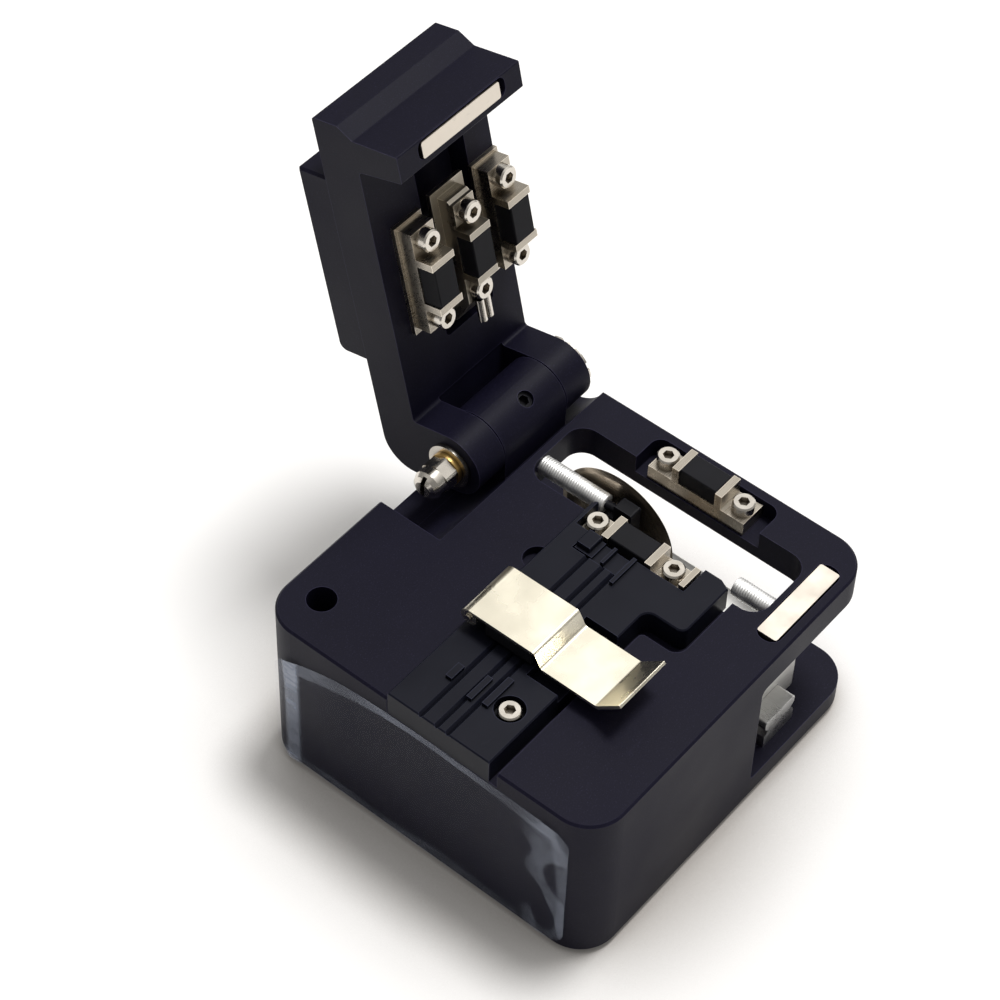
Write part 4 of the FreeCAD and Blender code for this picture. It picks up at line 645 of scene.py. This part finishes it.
class CLEAVER_OT_lay_film(bpy.types.Operator):
    """Lay the clear film on the left face, lifted and folded along its border"""
    bl_idname = "cleaver.lay_film"
    bl_label = "Lay Film"

    def execute(self, context):
        film = context.scene.cleaver_film
        low, high = (Vector(c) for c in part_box("protective_film"))
        body = [Vector(c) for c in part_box("body_frame")]
        bm = bmesh.new()
        bmesh.ops.create_grid(bm, x_segments=FILM_CELLS[0], y_segments=FILM_CELLS[1], size=0.5)
        crease = bm.verts.layers.float.new("crease")
        for v in bm.verts:
            along = low.y + (v.co.x + 0.5) * (high.y - low.y)
            top = self.top_edge(along, high.z)
            up = low.z + (v.co.y + 0.5) * (top - low.z)
            edge, along, up = self.round_corner(along, up, low, Vector((0, high.y, top)))
            out, v[crease] = self.fold(film, edge, along, up, high.y - along, along - low.y)
            v.co = self.wrap(along, up, film.lift + out, *body)
        clear = wrinkled_film("clear wrinkled film", (0.5, 0.56, 0.7))
        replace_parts(new_piece("clear_film", bm, clear, "body"), "protective_film")
        return {"FINISHED"}

    def top_edge(self, along, highest):
        """Height of the film's upper edge, which falls away towards the back."""
        sink = FILM_TOP_DROP * MM * abs(along) / (FILM_TOP_SPAN * MM)
        past = max(0.0, along - FILM_BACK_START * MM) / (FILM_BACK_SPAN * MM)
        return highest - sink - FILM_BACK_DROP * MM * past ** FILM_BACK_CURVE

    def round_corner(self, along, up, low, high):
        """Pull the four corners in to an arc; returns the distance to the border and the moved point."""
        reach = FILM_CORNER * MM
        inside = Vector((min(max(along, low.y + reach), high.y - reach),
                         min(max(up, low.z + reach), high.z - reach)))
        off = Vector((along, up)) - inside
        square = max(abs(off.x), abs(off.y))
        if square <= WELD:
            return reach, along, up
        if min(abs(off.x), abs(off.y)) > WELD:
            off = off.normalized() * square
        return reach - off.length, *(inside + off)

    def fold(self, film, edge, along, up, from_back, from_front):
        """Lift and milkiness: a soft border, loose patches in front and a taut band at the back, whose
        milkiness is a painted highlight.
        """
        ripple = wander(along, up, RIPPLE)
        width = film.border * (0.5 + 0.5 * wander(along, up, BORDER_WANDER))
        border = ease((width - edge) / (0.35 * width))
        highlight_band = ease((BAND_HALF * MM - abs(from_back - BAND_FROM_BACK * MM)) / (BAND_FADE * MM))
        patch = wander(along, up, LOOSE_PATCHES)
        loose = ease((LOOSE_LENGTH * MM - from_front) / (LOOSE_FADE * MM)) * ease((patch - 0.02) / 0.12)
        lift = film.crease_height * (border * (0.5 + 0.3 * ripple) + 0.3 * highlight_band + 0.2 * loose)
        upper = 0.55 + 0.45 * ease((up - MILKY_FROM * MM) / (MILKY_RISE * MM))
        # the band's milkiness is a painted highlight on the film's back corner
        mark = border * (0.3 + 0.35 * ripple) * upper + 1.1 * highlight_band * upper + 0.34 * loose
        return lift, min(1.0, max(0.0, mark))

    def wrap(self, along, up, out, low, high):
        """The point on the left face, carried round the body's vertical corners at its ends."""
        corner = FILM_WRAP_RADIUS * MM
        for centre_y, way in ((high.y - corner, 1.0), (low.y + corner, -1.0)):
            turn = (along - centre_y) * way / corner
            if turn > 0.0:
                arm = (corner + out) * Vector((-math.cos(turn), way * math.sin(turn), 0.0))
                return Vector((low.x + corner, centre_y, up)) + arm
        return Vector((low.x - out, along, up))


class CLEAVER_OT_set_stage(bpy.types.Operator):
    """Set the floor, the lamps, the room light and the camera"""
    bl_idname = "cleaver.set_stage"
    bl_label = "Set Stage"

    def execute(self, context):
        stage = context.scene.cleaver_stage
        self.lay_floor(stage)
        self.light_room(context, stage)
        self.hang_lamp(stage)
        self.aim_camera(context, stage)
        context.scene.view_settings.view_transform = "Standard"
        return {"FINISHED"}

    def lay_floor(self, stage):
        bm = bmesh.new()
        bmesh.ops.create_grid(bm, x_segments=1, y_segments=1, size=1.5)
        mesh = bpy.data.meshes.new("studio_floor")
        bm.to_mesh(mesh)
        bm.free()
        floor = bpy.data.objects.new("studio_floor", mesh)
        COLLECTION.objects.link(floor)
        base = tuple(stage.floor_colour)
        material, tree, shader, where = start_material("studio floor", base, 0.9, specular=0.1)
        paper = place(tree, "ShaderNodeTexNoise", Scale=40.0)
        wire(tree, where, paper.inputs["Vector"])
        plain = blend_colours(tree, paper.outputs["Fac"], tinted(base, 0.99), base)
        # painted contact shadow: the floor's colour darkens near the body
        contact_shadow = blend_colours(tree, recess_shade(tree, FLOOR_SHADOW_REACH, 0.3, 0.95), plain, FLOOR_SHADOW_COLOUR)
        wire(tree, contact_shadow, shader.inputs["Base Color"])
        glow = place(tree, "ShaderNodeEmission", Color=(1.0, 1.0, 1.0, 1.0))
        path = tree.nodes.new("ShaderNodeLightPath")
        seen = calculate(tree, "MAXIMUM", path.outputs["Is Camera Ray"], path.outputs["Is Glossy Ray"])
        seen = calculate(tree, "MAXIMUM", seen, path.outputs["Is Transmission Ray"])
        wire(tree, calculate(tree, "MULTIPLY", seen, FLOOR_GLOW), glow.inputs["Strength"])
        both = tree.nodes.new("ShaderNodeAddShader")
        wire(tree, shader.outputs[0], both.inputs[0])
        wire(tree, glow.outputs[0], both.inputs[1])
        wire(tree, both.outputs[0], tree.nodes["Material Output"].inputs["Surface"])
        mesh.materials.append(material)

    def light_room(self, context, stage):
        """White for the camera; for the object a broad softbox overhead that fades to the horizon."""
        world = bpy.data.worlds.new("studio room")
        context.scene.world = world
        world.use_nodes = True
        tree = world.node_tree
        tree.nodes.clear()
        output = tree.nodes.new("ShaderNodeOutputWorld")
        glow = place(tree, "ShaderNodeBackground", Color=(1.0, 0.985, 0.96, 1.0))
        where = tree.nodes.new("ShaderNodeTexCoord").outputs["Generated"]
        facing = place(tree, "ShaderNodeVectorMath", operation="DOT_PRODUCT")
        facing.inputs[1].default_value = Vector(SOFTBOX_FROM).normalized()
        wire(tree, where, facing.inputs[0])
        softbox = remap(tree, facing.outputs["Value"], *SOFTBOX_EDGES, stage.sky_level, stage.softbox_level)
        path = tree.nodes.new("ShaderNodeLightPath")
        seen = calculate(tree, "MAXIMUM", path.outputs["Is Camera Ray"], path.outputs["Is Transmission Ray"])
        plain = calculate(tree, "MULTIPLY", calculate(tree, "SUBTRACT", 1.0, seen), softbox)
        backdrop = calculate(tree, "MULTIPLY", seen, BACKDROP_LEVEL)
        wire(tree, calculate(tree, "ADD", plain, backdrop), glow.inputs["Strength"])
        wire(tree, glow.outputs[0], output.inputs[0])

    def hang_lamp(self, stage):
        lamp = bpy.data.lights.new("key lamp", "SUN")
        lamp.energy = stage.key_power
        lamp.angle = stage.key_spread
        holder = bpy.data.objects.new("key lamp", lamp)
        COLLECTION.objects.link(holder)
        holder.location = Vector(KEY_FROM) * KEY_DISTANCE
        holder.rotation_euler = Vector(KEY_FROM).to_track_quat("Z", "Y").to_euler()

    def aim_camera(self, context, stage):
        camera = bpy.data.cameras.new("camera")
        camera.lens = stage.lens
        camera.sensor_width = 36.0
        camera.clip_start = 0.01
        holder = bpy.data.objects.new("camera", camera)
        COLLECTION.objects.link(holder)
        a, e = stage.azimuth, stage.elevation
        toward = Vector((math.sin(a) * math.cos(e), -math.cos(a) * math.cos(e), math.sin(e)))
        level = Vector((0, 0, 1)).cross(toward).normalized()
        upward = toward.cross(level)
        c, s = math.cos(stage.roll), math.sin(stage.roll)
        right = c * level + s * upward
        top = c * upward - s * level
        turn = Matrix((right, top, toward)).transposed().to_4x4()
        holder.matrix_world = Matrix.Translation(Vector(CAMERA_AT)) @ turn
        context.scene.camera = holder


# ---------------------------------------------------------------- panel and registration
SETTINGS = {
    "cleaver_finish": CleaverFinish,
    "cleaver_film": CleaverFilm,
    "cleaver_stops": CleaverStops,
    "cleaver_stage": CleaverStage,
}
STEPS = (
    CLEAVER_OT_set_stage,
    CLEAVER_OT_dress_housing,
    CLEAVER_OT_dress_adapter,
    CLEAVER_OT_dress_anvils,
    CLEAVER_OT_dress_hardware,
    CLEAVER_OT_dress_slider,
    CLEAVER_OT_dress_clip,
    CLEAVER_OT_cut_threads,
    CLEAVER_OT_lay_film,
)


class CLEAVER_PT_dressing(bpy.types.Panel):
    """Lists the cleaver's dressing steps and settings"""
    bl_idname = "CLEAVER_PT_dressing"
    bl_label = "Fibre Cleaver"
    bl_space_type = "VIEW_3D"
    bl_region_type = "UI"
    bl_category = "Cleaver"

    def draw(self, context):
        layout = self.layout
        for name in SETTINGS:
            group = getattr(context.scene, name)
            for key in group.__annotations__:
                layout.prop(group, key)
        for step in STEPS:
            layout.operator(step.bl_idname)


CLASSES = (*SETTINGS.values(), *STEPS, CLEAVER_PT_dressing)


def register():
    for item in CLASSES:
        bpy.utils.register_class(item)
    for name, group in SETTINGS.items():
        setattr(bpy.types.Scene, name, PointerProperty(type=group))


def unregister():
    for name in SETTINGS:
        delattr(bpy.types.Scene, name)
    for item in reversed(CLASSES):
        bpy.utils.unregister_class(item)


def main():
    register()
    for step in STEPS:
        area, name = step.bl_idname.split(".")
        getattr(getattr(bpy.ops, area), name)()


if __name__ == "__main__":
    main()
